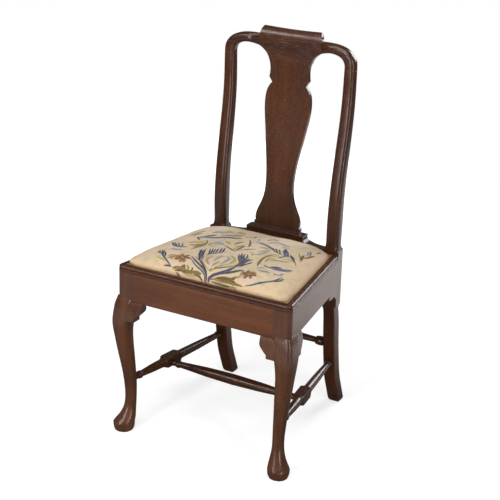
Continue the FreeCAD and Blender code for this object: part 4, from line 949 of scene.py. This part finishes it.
# These are heights: of the crown's foot above the floor, of the crown above its foot, of the
# cover's top above the floor, and of the cover above the crown.
CROWN_FOOT = 470.5
CROWN_RISE = 29.1
COVER_TOP = 501.2
COVER_THICKNESS = 1.6

# Height of the solid crown above the floor at distances in from its edge, in millimetres.
CROWN_PROFILE = ((0, 465), (10, 476), (20, 481), (30, 485.5), (40, 488.5), (62, 494.7),
                 (97, 498.7), (400, 501))

# Highest and lowest level at which a picked point is looked for, in millimetres, and the steps.
SOUGHT_HIGH = 560
SOUGHT_LOW = 440
SOUGHT_STEPS = 1500

# No point is brought further forward than this.
FOREMOST = -17

# Thread, widest part in millimetres, and the picked points of each stroke.
LEAVES = [
    ("navy", 5, [(550, 555), (566, 500), (560, 450), (535, 405), (490, 360), (450, 320), (420, 285)]),
    ("slate", 4, [(538, 545), (545, 480), (520, 430), (470, 385), (435, 345), (415, 310)]),
    ("navy", 4, [(565, 440), (545, 395), (520, 350), (490, 315), (455, 290)]),
    ("lilac", 3, [(548, 430), (515, 380), (470, 335), (440, 305)]),
    ("navy", 5, [(500, 330), (497, 280), (510, 235), (520, 215)]),
    ("slate", 4, [(516, 325), (512, 280), (525, 240), (540, 222)]),
    ("navy", 4, [(530, 310), (530, 275), (545, 240), (562, 210)]),
    ("navy", 3.5, [(580, 270), (598, 240), (604, 210)]),
    ("navy", 3.5, [(605, 262), (622, 235), (632, 208)]),
    ("slate", 3.5, [(630, 256), (648, 232), (658, 210)]),
    ("navy", 3.5, [(655, 252), (672, 230), (690, 210)]),
    ("navy", 3.5, [(690, 250), (712, 225), (722, 205)]),
    ("navy", 3.5, [(715, 252), (740, 225), (752, 202)]),
    ("slate", 5, [(560, 272), (620, 258), (690, 250), (760, 240)]),
    ("navy", 6, [(575, 545), (590, 505), (630, 470), (700, 445),
                 (770, 425), (840, 400), (895, 370), (905, 340)]),
    ("slate", 5, [(590, 530), (612, 495), (660, 468), (730, 452), (800, 440)]),
    ("navy", 7, [(690, 460), (760, 448), (830, 440), (890, 432), (945, 425)]),
    ("lilac", 5, [(690, 446), (760, 437), (850, 412)]),
    ("navy", 4, [(890, 385), (903, 350), (890, 310), (882, 275)]),
    ("slate", 4, [(905, 375), (915, 330), (903, 290), (895, 262)]),
    ("navy", 4, [(915, 360), (927, 320), (918, 285), (925, 256)]),
    ("navy", 4, [(925, 350), (945, 315), (942, 285), (955, 262)]),
    ("slate", 4, [(930, 345), (965, 310), (977, 285), (977, 268)]),
    ("navy", 6, [(900, 385), (950, 345), (990, 330), (1030, 320)]),
    ("navy", 6, [(890, 392), (950, 368), (1000, 354), (1025, 345)]),
    ("slate", 5, [(920, 360), (960, 335), (1000, 308)]),
    ("lilac", 4, [(905, 340), (930, 320), (950, 300)]),
    ("straw", 3, [(600, 440), (545, 360), (527, 320), (560, 288), (640, 272)]),
    ("olive", 5, [(610, 425), (650, 403), (720, 397), (800, 390), (870, 372), (897, 340), (880, 300)]),
    ("straw", 6, [(650, 390), (740, 372), (830, 350), (870, 320)]),
    ("blush", 7, [(592, 370), (570, 330), (590, 300), (640, 285)]),
    ("mist", 8, [(700, 365), (760, 335), (800, 310), (770, 282)]),
    ("mist", 7, [(640, 335), (680, 305), (720, 295)]),
    ("straw", 6, [(620, 385), (660, 355), (700, 335)]),
    ("blush", 7, [(655, 300), (700, 285), (750, 288)]),
    ("straw", 6, [(800, 350), (845, 322), (835, 292), (795, 275)]),
    ("lilac", 3, [(740, 340), (775, 318), (790, 300)]),
    ("bark", 2.5, [(595, 432), (603, 412), (612, 398)]),
    ("olive", 2.5, [(606, 432), (660, 392), (720, 368)]),
    ("olive", 6, [(235, 412), (290, 405), (340, 420), (400, 440), (460, 455), (505, 475)]),
    ("bark", 6, [(251, 430), (310, 425), (360, 445), (420, 465)]),
    ("moss", 4, [(340, 425), (350, 392), (344, 365)]),
    ("olive", 4, [(368, 430), (385, 400), (376, 372)]),
    ("bark", 4, [(398, 438), (425, 412), (420, 392)]),
    ("olive", 6, [(225, 395), (270, 390), (310, 400), (350, 412)]),
    ("olive", 7, [(390, 446), (440, 440), (480, 448), (512, 465)]),
    ("rust", 7, [(285, 404), (328, 388), (350, 376)]),
    ("moss", 4, [(440, 470), (475, 478), (508, 505), (518, 535)]),
    ("straw", 6, [(335, 452), (380, 468), (425, 482), (465, 488)]),
    ("bark", 3, [(263, 446), (275, 470), (292, 494)]),
    ("slate", 2.5, [(280, 448), (288, 470), (302, 490)]),
    ("olive", 6, [(598, 520), (650, 513), (700, 527), (760, 540), (830, 560), (900, 582), (928, 596)]),
    ("bark", 6, [(650, 500), (710, 508), (760, 520), (820, 532), (862, 556)]),
    ("rust", 7, [(670, 494), (740, 498), (800, 514), (852, 516)]),
    ("moss", 5, [(615, 534), (670, 552), (720, 566), (780, 582), (850, 597)]),
    ("olive", 5, [(790, 522), (840, 500), (892, 488)]),
    ("straw", 7, [(735, 584), (790, 592), (838, 580)]),
    ("mist", 6, [(622, 562), (660, 572), (705, 582)]),
    ("straw", 5, [(640, 512), (690, 540), (740, 552)]),
    ("bark", 4, [(818, 620), (840, 626), (862, 620)]),
    ("rust", 5, [(300, 425), (340, 436), (390, 452)]),
    ("straw", 5, [(250, 402), (300, 398), (350, 412), (400, 428)]),
    ("slate", 4, [(212, 385), (190, 350), (160, 310), (130, 270), (100, 235)]),
    ("navy", 3.5, [(172, 325), (140, 285), (108, 250)]),
    ("navy", 3.5, [(138, 285), (150, 258), (154, 232)]),
    ("navy", 3.5, [(118, 262), (120, 235), (118, 210)]),
    ("navy", 3, [(128, 264), (135, 240), (137, 208)]),
    ("slate", 3.5, [(104, 245), (90, 225), (93, 208)]),
    ("slate", 4, [(100, 245), (78, 236), (66, 228)]),
    ("slate", 5, [(215, 388), (180, 374), (145, 374)]),
    ("ochre", 9, [(186, 296), (225, 284), (262, 288)]),
    ("blush", 9, [(180, 272), (215, 262), (255, 270)]),
    ("slate", 6, [(225, 160), (260, 180), (310, 190), (382, 191)]),
    ("navy", 4, [(242, 182), (235, 162), (225, 143)]),
    ("navy", 3.5, [(268, 187), (262, 166), (251, 148)]),
    ("slate", 3.5, [(294, 189), (292, 166), (288, 150)]),
    ("slate", 3.5, [(320, 191), (326, 172), (331, 158)]),
    ("mist", 8, [(212, 202), (260, 216), (325, 222)]),
    ("slate", 10, [(478, 97), (540, 90), (600, 79), (665, 70)]),
    ("steel", 9, [(560, 97), (640, 100), (705, 102)]),
    ("navy", 4, [(480, 88), (485, 108), (502, 122)]),
    ("navy", 6, [(620, 92), (720, 97), (800, 100), (880, 108), (925, 110)]),
    ("moss", 7, [(390, 75), (440, 55), (500, 40), (560, 32)]),
    ("steel", 6, [(425, 80), (475, 64), (535, 52)]),
    ("mist", 10, [(700, 84), (770, 76), (850, 84), (930, 92)]),
    ("olive", 6, [(410, 215), (470, 195), (530, 175), (568, 148), (576, 122)]),
    ("straw", 7, [(470, 152), (515, 142), (560, 130)]),
    ("olive", 5, [(440, 192), (500, 172), (548, 152)]),
    ("straw", 9, [(385, 150), (440, 140), (490, 146)]),
    ("ochre", 6, [(400, 168), (450, 172), (500, 160)]),
    ("blush", 8, [(588, 180), (608, 158), (645, 150)]),
    ("mist", 8, [(640, 165), (700, 156), (745, 172)]),
    ("steel", 4, [(640, 148), (680, 140), (710, 142)]),
    ("bark", 4, [(755, 178), (800, 205), (848, 237)]),
    ("olive", 6, [(845, 237), (890, 217), (932, 192), (958, 186)]),
    ("rust", 6, [(848, 168), (890, 152), (942, 145)]),
    ("bark", 4, [(1003, 122), (1006, 150), (996, 183), (978, 193)]),
    ("ochre", 6, [(858, 194), (905, 187), (952, 178)]),
    ("olive", 5, [(895, 228), (980, 217), (1062, 216)]),
    ("straw", 8, [(800, 170), (785, 148), (765, 132)]),
    ("straw", 8, [(830, 222), (870, 206), (905, 204)]),
    ("bark", 4, [(1068, 94), (1045, 106)]),
    ("straw", 12, [(740, 50), (790, 43), (835, 50)]),
    ("ochre", 7, [(878, 44), (920, 54), (965, 62)]),
    ("mist", 9, [(620, 48), (690, 42), (735, 58)]),
    ("straw", 8, [(840, 70), (900, 74), (965, 84)]),
    ("blush", 8, [(960, 100), (1000, 96), (1030, 104)]),
    ("slate", 7, [(1072, 145), (1130, 160), (1180, 185), (1225, 215), (1262, 242)]),
    ("steel", 5, [(1110, 160), (1170, 175), (1230, 205)]),
    ("moss", 6, [(1080, 124), (1104, 120)]),
    ("plum", 3.5, [(1248, 244), (1242, 222), (1230, 202)]),
    ("navy", 3.5, [(1272, 252), (1268, 228), (1262, 210)]),
    ("navy", 3.5, [(1300, 258), (1299, 238), (1294, 218)]),
    ("lilac", 4, [(1235, 222), (1280, 252), (1335, 272)]),
    ("slate", 5, [(1380, 292), (1350, 262), (1334, 228)]),
    ("slate", 5, [(1386, 292), (1376, 252), (1360, 213)]),
    ("navy", 4, [(1345, 284), (1354, 246), (1349, 216)]),
    ("navy", 4, [(1392, 285), (1420, 302), (1440, 330), (1456, 352)]),
    ("navy", 4, [(1404, 272), (1426, 296), (1446, 334)]),
    ("slate", 6, [(1278, 302), (1330, 290), (1384, 286)]),
    ("olive", 6, [(1075, 388), (1085, 352), (1120, 316), (1170, 286), (1230, 270), (1288, 275)]),
    ("moss", 3, [(1088, 372), (1102, 340), (1142, 308)]),
    ("straw", 6, [(1150, 302), (1210, 286), (1272, 290)]),
    ("straw", 8, [(1150, 344), (1190, 314), (1250, 312)]),
    ("ochre", 5, [(1200, 332), (1260, 326), (1312, 342)]),
    ("blush", 9, [(1288, 330), (1340, 338), (1392, 348)]),
    ("straw", 5, [(1325, 310), (1400, 325), (1442, 348), (1450, 378)]),
    ("bark", 4, [(1143, 373), (1168, 391), (1202, 400)]),
    ("slate", 9, [(1190, 402), (1240, 402), (1300, 415), (1350, 424), (1418, 420)]),
    ("lilac", 8, [(1225, 412), (1290, 426), (1350, 434), (1412, 428)]),
    ("navy", 4, [(1200, 394), (1250, 392), (1322, 404)]),
    ("mist", 9, [(1080, 422), (1150, 440), (1205, 452)]),
    ("blush", 8, [(1070, 408), (1110, 402), (1150, 410)]),
    ("mist", 8, [(1230, 460), (1290, 468), (1340, 462)]),
    ("moss", 6, [(1508, 322), (1520, 296), (1542, 274)]),
    ("olive", 6, [(1526, 302), (1580, 290), (1642, 274)]),
    ("steel", 4, [(1588, 284), (1605, 252), (1601, 228)]),
    ("steel", 3, [(1562, 276), (1580, 252), (1580, 234)]),
    ("olive", 3, [(1494, 334), (1500, 300), (1494, 258)]),
    ("olive", 4, [(1660, 246), (1702, 236)]),
    ("slate", 5, [(948, 587), (1020, 570), (1080, 552), (1150, 537), (1220, 526), (1282, 515)]),
    ("navy", 5, [(1195, 532), (1255, 512), (1302, 490)]),
    ("navy", 5, [(1236, 528), (1288, 516), (1332, 500)]),
    ("steel", 4, [(1268, 505), (1290, 496), (1318, 488)]),
    ("navy", 4, [(1068, 554), (1120, 548)]),
    ("steel", 4, [(1040, 270), (1100, 265), (1160, 250), (1212, 233)]),
    ("mist", 8, [(1080, 244), (1140, 236), (1202, 224)]),
    ("mist", 9, [(1180, 160), (1240, 150), (1302, 160)]),
    ("steel", 5, [(1280, 150), (1340, 174), (1402, 190)]),
    ("straw", 9, [(1100, 196), (1150, 203), (1190, 218)]),
    ("blush", 8, [(1325, 195), (1390, 207)]),
    ("straw", 9, [(1180, 130), (1230, 122), (1290, 132)]),
    ("blush", 8, [(860, 502), (900, 482), (930, 462)]),
    ("straw", 5, [(1000, 240), (1030, 260), (1010, 285)]),
    ("straw", 4, [(60, 285), (110, 300), (150, 330)]),
]

# Thread, picked middle, reach in millimetres and number of a flower's petals.
FLOWERS = [
    ("rust", (330, 300), 21, 7),
    ("ochre", (300, 285), 13, 5),
    ("rust", (985, 466), 20, 7),
    ("ochre", (1020, 455), 12, 5),
    ("straw", (222, 285), 13, 5),
]


def crown_level(x, y):
    """Height of the cover in millimetres, x across and y back from the front rail's face."""
    half = SEAT_HALF - y * SIDE_TAPER
    inward = max(0.0, min(half - abs(x), y - CROWN_BEGINS, CROWN_ENDS - y))
    for (near, low), (far, high) in zip(CROWN_PROFILE, CROWN_PROFILE[1:]):
        if inward <= far:
            solid = low + (high - low) * (inward - near) / (far - near)
            break
    pad = full_level(solid - COVER_THICKNESS, CROWN_FOOT, CROWN_RISE, START_SHARE, FULLNESS)
    return pad + COVER_THICKNESS


def on_seat(point):
    """Place of a picked point in whole millimetres across and back from the front rail's face.

    It is brought forward by as much as it is below the cover's top, because the stitches are
    laid from above it, slanting back and down.
    """
    eye, right, up, back = camera_view(PHOTO_AZIMUTH, PHOTO_ELEVATION, PHOTO_ROLL, PHOTO_DISTANCE)
    reach = PHOTO_LENS / SENSOR_WIDTH * PHOTO_SIZE
    across = (CROP_LEFT + point[0] / ENLARGED - PHOTO_SIZE / 2) / reach
    over = (CROP_TOP + point[1] / ENLARGED - PHOTO_SIZE / 2) / reach
    ray = right * across - up * over - back
    for step in range(SOUGHT_STEPS):
        level = SOUGHT_HIGH - (SOUGHT_HIGH - SOUGHT_LOW) * step / (SOUGHT_STEPS - 1)
        way = (level * MM - eye.z) / ray.z
        x = (eye.x + ray.x * way) / MM
        y = (eye.y + ray.y * way - FRONT_FACE) / MM
        if y >= SEAT_BEGINS and level < COVER_TOP and level <= crown_level(x, y):
            break
    return round(x), max(FOREMOST, round(y - (COVER_TOP - level)))


def stroke_line(points):
    """Places on the seat that a stroke's picked points show, each of them once."""
    places = []
    for point in points:
        place = on_seat(point)
        if place not in places[-1:]:
            places.append(place)
    return [Vector(place) for place in places]


# A stitch: turns of its corners in degrees, and where along it its half widths are what share.
STITCH_TURNS = (-22, 58, 122, 202)
STITCH_SHARES = ((-0.5, 0.25), (-0.36, 0.85), (0.36, 0.85), (0.5, 0.25))
SLANT_SLIP = 0.16
MOST_STRETCH = 1.25

# Inputs of the stitch tree, and the kind of each.
STITCH_INPUTS = {
    "Cushion": "NodeSocketObject", "Stitch": "NodeSocketObject", "Spacing": "NodeSocketFloat",
    "Slant": "NodeSocketFloat", "Unevenness": "NodeSocketFloat", "Seed": "NodeSocketInt",
    "Thread": "NodeSocketMaterial"}

# Guide lines start this far above the crown and as far before their place.
GUIDE_RISE = 30 * MM
STEPS_BETWEEN_POINTS = 8

# Shortest stitch in millimetres, its length as a share of the line's width, the share of a line
# that its drawn-in ends take, how fast they fill out, and the tones of single lines.
SHORTEST_STITCH = 2.4
STITCH_OVERLAP = 1.4
LINE_ENDS = 0.03
LINE_FULLNESS = 0.55
LINE_TONES = (0.88, 1.12)

# Parts of a petal as shares of its reach.
PETAL_WIDTH_SHARE = 0.42
PETAL_START_SHARE = 0.15
PETAL_MIDDLE_SHARE = 0.6
PETAL_BEND_SHARE = 0.16
PETAL_TURN_SLIP = 0.2


def stitch_bar(width):
    """One stitch of unit length along x, domed on top, with its ends drawn in."""
    work = bmesh.new()
    turns = [math.radians(angle) for angle in STITCH_TURNS]
    rings = []
    for x, share in STITCH_SHARES:
        half = width / 2 * share
        rings.append([work.verts.new((x, half * math.cos(turn), half * 0.8 * math.sin(turn)))
                      for turn in turns])
    for first, second in zip(rings, rings[1:]):
        for left in range(len(turns)):
            right = (left + 1) % len(turns)
            work.faces.new((first[left], second[left], second[right], first[right]))
    work.faces.new(rings[0])
    work.faces.new(rings[-1][::-1])
    bmesh.ops.recalc_face_normals(work, faces=work.faces)
    mesh = finished_mesh(work, "stitch")
    mesh.shade_smooth()
    return mesh


class NodeTree:
    """A Geometry Nodes tree and the nodes that make it."""

    def __init__(self, name):
        self.tree = bpy.data.node_groups.new(name, "GeometryNodeTree")
        self.sockets = {}
        self.tree.interface.new_socket("Geometry", in_out="INPUT", socket_type="NodeSocketGeometry")
        self.tree.interface.new_socket("Geometry", in_out="OUTPUT", socket_type="NodeSocketGeometry")
        self.start = self.tree.nodes.new("NodeGroupInput")
        self.end = self.tree.nodes.new("NodeGroupOutput")

    def input(self, name, kind):
        self.sockets[name] = self.tree.interface.new_socket(name, in_out="INPUT", socket_type=kind)

    def given(self, name):
        return self.start.outputs[name]

    def node(self, kind, settings=None, inputs=None):
        made = self.tree.nodes.new(kind)
        for name, value in (settings or {}).items():
            setattr(made, name, value)
        for key, value in (inputs or {}).items():
            if isinstance(value, bpy.types.NodeSocket):
                self.tree.links.new(value, made.inputs[key])
            else:
                made.inputs[key].default_value = value
        return made

    def finish(self, geometry):
        self.tree.links.new(geometry, self.end.inputs[0])

    def put_on(self, piece, values):
        modifier = piece.modifiers.new(self.tree.name, "NODES")
        modifier.node_group = self.tree
        for name, value in values.items():
            modifier[self.sockets[name].identifier] = value


def stitch_tree():
    """Lays slanted stitches along guide lines, back and down on the cushion."""
    tree = NodeTree("crewel stitches")
    for name, kind in STITCH_INPUTS.items():
        tree.input(name, kind)
    lines = tree.node("GeometryNodeMeshToCurve", {}, {0: tree.given("Geometry")}).outputs[0]
    lines = tree.node("GeometryNodeResampleCurve", {"mode": "LENGTH"}, {
        "Curve": lines, "Length": tree.given("Spacing")}).outputs[0]
    dots = tree.node("GeometryNodeCurveToPoints", {"mode": "EVALUATED"}, {"Curve": lines})
    cushion = tree.node("GeometryNodeObjectInfo", {}, {0: tree.given("Cushion")}).outputs["Geometry"]
    hit = tree.node("GeometryNodeRaycast", {}, {
        "Target Geometry": cushion, "Ray Direction": (0.0, 1.0, -1.0), "Ray Length": 1.0})
    laid = tree.node("GeometryNodeSetPosition", {}, {
        "Geometry": dots.outputs["Points"], "Selection": hit.outputs["Is Hit"],
        "Position": hit.outputs["Hit Position"]}).outputs[0]
    up = tree.node("GeometryNodeSampleNearestSurface", {"data_type": "FLOAT_VECTOR"}, {
        "Mesh": cushion, "Value": tree.node("GeometryNodeInputNormal").outputs[0]}).outputs[0]
    facing = tree.node("FunctionNodeAlignRotationToVector", {"axis": "Z"}, {"Vector": up})
    facing = tree.node("FunctionNodeAlignRotationToVector", {"axis": "X", "pivot_axis": "Z"}, {
        "Rotation": facing.outputs[0], "Vector": dots.outputs["Tangent"]})
    slip = tree.node("FunctionNodeRandomValue", {"data_type": "FLOAT"}, {
        2: -SLANT_SLIP, 3: SLANT_SLIP, "Seed": tree.given("Seed")})
    slant = tree.node("ShaderNodeMath", {"operation": "ADD"}, {
        0: tree.given("Slant"), 1: slip.outputs[1]})
    turn = tree.node("ShaderNodeCombineXYZ", {}, {"Z": slant.outputs[0]})
    turned = tree.node("FunctionNodeRotateRotation", {"rotation_space": "LOCAL"}, {
        "Rotation": facing.outputs[0],
        "Rotate By": tree.node("FunctionNodeEulerToRotation", {}, {0: turn.outputs[0]}).outputs[0]})
    long = tree.node("GeometryNodeInputNamedAttribute", {"data_type": "FLOAT"}, {0: "stitch_length"})
    stretch = tree.node("FunctionNodeRandomValue", {"data_type": "FLOAT"}, {
        2: 1.0, 3: tree.given("Unevenness"), "Seed": tree.given("Seed")})
    long = tree.node("ShaderNodeMath", {"operation": "MULTIPLY"}, {
        0: long.outputs[0], 1: stretch.outputs[1]})
    size = tree.node("ShaderNodeCombineXYZ", {}, {"X": long.outputs[0], "Y": 1.0, "Z": 1.0})
    bar = tree.node("GeometryNodeObjectInfo", {}, {0: tree.given("Stitch")}).outputs["Geometry"]
    laid = tree.node("GeometryNodeInstanceOnPoints", {}, {
        "Points": laid, "Instance": bar, "Rotation": turned.outputs[0],
        "Scale": size.outputs[0]})
    real = tree.node("GeometryNodeRealizeInstances", {}, {0: laid.outputs[0]})
    done = tree.node("GeometryNodeSetMaterial", {}, {
        "Geometry": real.outputs[0], "Material": tree.given("Thread")})
    tree.finish(done.outputs[0])
    return tree


def guide_mesh():
    """All worked lines as chains of edges that carry length and thread."""
    work = bmesh.new()
    length = work.verts.layers.float.new("stitch_length")
    thread = work.verts.layers.float_color.new("thread")
    chance = random.Random(5)
    lines = [(name, width, stroke_line(points)) for name, width, points in LEAVES]
    for name, point, reach, petals in FLOWERS:
        middle = Vector(on_seat(point))
        for petal in range(petals):
            turn = 2 * math.pi * petal / petals + chance.uniform(-PETAL_TURN_SLIP, PETAL_TURN_SLIP)
            tip = Vector((math.cos(turn), math.sin(turn)))
            bend = Vector((-tip.y, tip.x)) * reach * PETAL_BEND_SHARE
            lines.append((name, reach * PETAL_WIDTH_SHARE, [
                middle + tip * reach * PETAL_START_SHARE,
                middle + tip * reach * PETAL_MIDDLE_SHARE + bend, middle + tip * reach]))
        lines.append(("straw", 4, [middle + Vector(step) for step in ((-3, 0), (0, 1), (3, 0))]))
    for name, width, points in lines:
        line = smooth_line(points, STEPS_BETWEEN_POINTS)
        shade = chance.uniform(*LINE_TONES)
        colour = Vector((*toned(THREADS[name], shade), 1.0))
        previous = None
        for number, point in enumerate(line):
            share = number / (len(line) - 1)
            inside = min(1 - LINE_ENDS, max(LINE_ENDS, share))
            full = math.sin(math.pi * inside) ** LINE_FULLNESS
            vertex = work.verts.new((
                point.x * MM, point.y * MM + FRONT_FACE - GUIDE_RISE, COVER_HIGH.z + GUIDE_RISE))
            vertex[length] = max(SHORTEST_STITCH, STITCH_OVERLAP * width * full) * MM
            vertex[thread] = colour
            if previous:
                work.edges.new((previous, vertex))
            previous = vertex
    return finished_mesh(work, "needlework_guide")


class CHAIR_OT_embroidery(bpy.types.Operator):
    """Work the flowering branches in wool on the linen"""
    bl_idname = "side_chair.embroidery"
    bl_label = "Embroidery"

    def execute(self, context):
        settings = context.scene.side_chair_needlework
        stitch = bpy.data.objects.new("stitch", stitch_bar(settings.stitch_width))
        guide = bpy.data.objects.new("needlework_guide", guide_mesh())
        for helper in (stitch, guide):
            context.scene.collection.objects.link(helper)
        wool = crewel_wool()
        stitch_tree().put_on(guide, {
            "Cushion": bpy.data.objects["needlework_cushion"], "Stitch": stitch,
            "Spacing": settings.stitch_spacing, "Slant": settings.slant, "Unevenness": MOST_STRETCH,
            "Seed": settings.seed, "Thread": wool})
        mesh = baked_modifiers(guide)
        mesh.name = "crewel_embroidery"
        for helper in (stitch, guide):
            bpy.data.objects.remove(helper)
        new_piece("crewel_embroidery", mesh, wool, "slip_seat")
        return {"FINISHED"}


# Stage

# Place, width and height of each softbox; its power is one of the settings.
SOFTBOXES = {
    "front": ((-0.45, -3.1, 1.25), 0.55, 2.3),
    "left": ((-1.55, -2.3, 1.95), 1.1, 0.75),
    "side": ((2.6, -1.5, 1.25), 0.45, 2.3),
    "rear": ((0.9, 3.0, 1.8), 1.4, 1.4),
    "top": ((0.1, -0.9, 2.3), 1.3, 1.3),
}
LAMPS_AIM = 0.5
FLOOR_REACH = 2.4
WORLD_LIGHT = 0.14


class CHAIR_OT_stage(bpy.types.Operator):
    """Set up the floor, the lamps and the camera"""
    bl_idname = "side_chair.stage"
    bl_label = "Stage"

    def execute(self, context):
        settings = context.scene.side_chair_stage
        self.floor()
        self.world(context)
        for side, (place, width, height) in SOFTBOXES.items():
            self.softbox(side + "_softbox", place, width, height, getattr(settings, side + "_power"))
        self.camera(context, settings)
        context.scene.view_settings.view_transform = "Standard"
        return {"FINISHED"}

    def floor(self):
        finish = Finish("pale_floor")
        seen = finish.node("ShaderNodeLightPath", output="Is Camera Ray")
        mirrored = finish.node("ShaderNodeLightPath", output="Is Glossy Ray")
        behind = finish.along("Y").between(0.1, 0.9)
        speck = finish.noise(finish.place(), (40, 40, 40), 2.0)
        pale = finish.mix(speck, (0.55, 0.55, 0.55, 1.0), (0.58, 0.58, 0.58, 1.0))
        away = finish.node("ShaderNodeVectorMath", {"operation": "LENGTH"}, {0: finish.place()}, "Value")
        # Painted shade: in glossy rays the floor near the chair is darker, standing in for its shadow in
        # reflections.
        pale = finish.mix(mirrored * (1 - away.between(0.5, 1.3)) * 0.85, pale, (0.08, 0.08, 0.08, 1.0))
        matt = finish.node("ShaderNodeBsdfDiffuse", {}, {"Color": pale})
        # Evenly white to the camera; in glossy rays the floor behind the chair also glows, a painted
        # reflection in the wood's side faces.
        glow = finish.node("ShaderNodeEmission", {}, {
            "Color": (1, 1, 1, 1),
            "Strength": seen * (away.between(0.5, 2.2) * 0.40 + 0.64) + mirrored * behind * 0.6})
        finish.show(finish.node("ShaderNodeAddShader", {}, {0: matt, 1: glow}))
        mesh = bpy.data.meshes.new("floor")
        corners = [(-1, -1), (1, -1), (1, 1), (-1, 1)]
        mesh.from_pydata([(x * FLOOR_REACH, y * FLOOR_REACH, 0) for x, y in corners], [], [(0, 1, 2, 3)])
        mesh.materials.append(finish.material)
        floor = bpy.data.objects.new("floor", mesh)
        bpy.context.scene.collection.objects.link(floor)

    def world(self, context):
        world = bpy.data.worlds.new("studio")
        world.use_nodes = True
        tree = world.node_tree
        tree.nodes.clear()
        path = tree.nodes.new("ShaderNodeLightPath")
        mix = tree.nodes.new("ShaderNodeMixShader")
        tree.links.new(path.outputs["Is Camera Ray"], mix.inputs[0])
        for number, strength in enumerate((WORLD_LIGHT, 1.0)):
            light = tree.nodes.new("ShaderNodeBackground")
            light.inputs["Color"].default_value = (1.0, 1.0, 1.0, 1.0)
            light.inputs["Strength"].default_value = strength
            tree.links.new(light.outputs[0], mix.inputs[1 + number])
        end = tree.nodes.new("ShaderNodeOutputWorld")
        tree.links.new(mix.outputs[0], end.inputs[0])
        context.scene.world = world

    def softbox(self, name, place, width, height, power):
        light = bpy.data.lights.new(name, "AREA")
        light.shape = "RECTANGLE"
        light.size = width
        light.size_y = height
        light.energy = power
        lamp = bpy.data.objects.new(name, light)
        lamp.visible_camera = False
        bpy.context.scene.collection.objects.link(lamp)
        lamp.location = place
        aim = Vector((0.0, 0.0, LAMPS_AIM)) - Vector(place)
        lamp.rotation_euler = aim.to_track_quat("-Z", "Y").to_euler()

    def camera(self, context, settings):
        place, right, up, back = camera_view(
            settings.azimuth, settings.elevation, settings.roll, settings.distance)
        lens = bpy.data.cameras.new("camera")
        lens.lens = settings.lens
        lens.sensor_width = SENSOR_WIDTH
        camera = bpy.data.objects.new("camera", lens)
        context.scene.collection.objects.link(camera)
        turn = Matrix((right, up, back)).transposed()
        camera.matrix_world = Matrix.Translation(place) @ turn.to_4x4()
        context.scene.camera = camera


class CHAIR_PT_panel(bpy.types.Panel):
    """Buttons and settings of the side chair"""
    bl_idname = "CHAIR_PT_panel"
    bl_label = "Side chair"
    bl_space_type = "VIEW_3D"
    bl_region_type = "UI"
    bl_category = "Side chair"

    def draw(self, context):
        for step in STEPS:
            self.layout.operator(step.bl_idname)
        for group in SETTINGS:
            settings = getattr(context.scene, group)
            for name in settings.__annotations__:
                self.layout.prop(settings, name)


STEPS = (CHAIR_OT_seat_frame, CHAIR_OT_front_legs, CHAIR_OT_back, CHAIR_OT_stretchers,
         CHAIR_OT_plain_woodwork, CHAIR_OT_webbing, CHAIR_OT_sackcloth, CHAIR_OT_cushion,
         CHAIR_OT_turned_edge, CHAIR_OT_embroidery, CHAIR_OT_stage)
SETTINGS = {
    "side_chair_wood": WoodSettings,
    "side_chair_cushion": CushionSettings,
    "side_chair_needlework": NeedleworkSettings,
    "side_chair_stage": StageSettings,
}


def register():
    for kind in (*SETTINGS.values(), *STEPS, CHAIR_PT_panel):
        bpy.utils.register_class(kind)
    for name, kind in SETTINGS.items():
        setattr(bpy.types.Scene, name, PointerProperty(type=kind))


def unregister():
    for name in SETTINGS:
        delattr(bpy.types.Scene, name)
    for kind in (CHAIR_PT_panel, *reversed(STEPS), *reversed(tuple(SETTINGS.values()))):
        bpy.utils.unregister_class(kind)


def main():
    register()
    bpy.ops.side_chair.seat_frame()
    bpy.ops.side_chair.front_legs()
    bpy.ops.side_chair.back()
    bpy.ops.side_chair.stretchers()
    bpy.ops.side_chair.plain_woodwork()
    bpy.ops.side_chair.webbing()
    bpy.ops.side_chair.sackcloth()
    bpy.ops.side_chair.cushion()
    bpy.ops.side_chair.turned_edge()
    bpy.ops.side_chair.embroidery()
    bpy.ops.side_chair.stage()


if __name__ == "__main__":
    main()
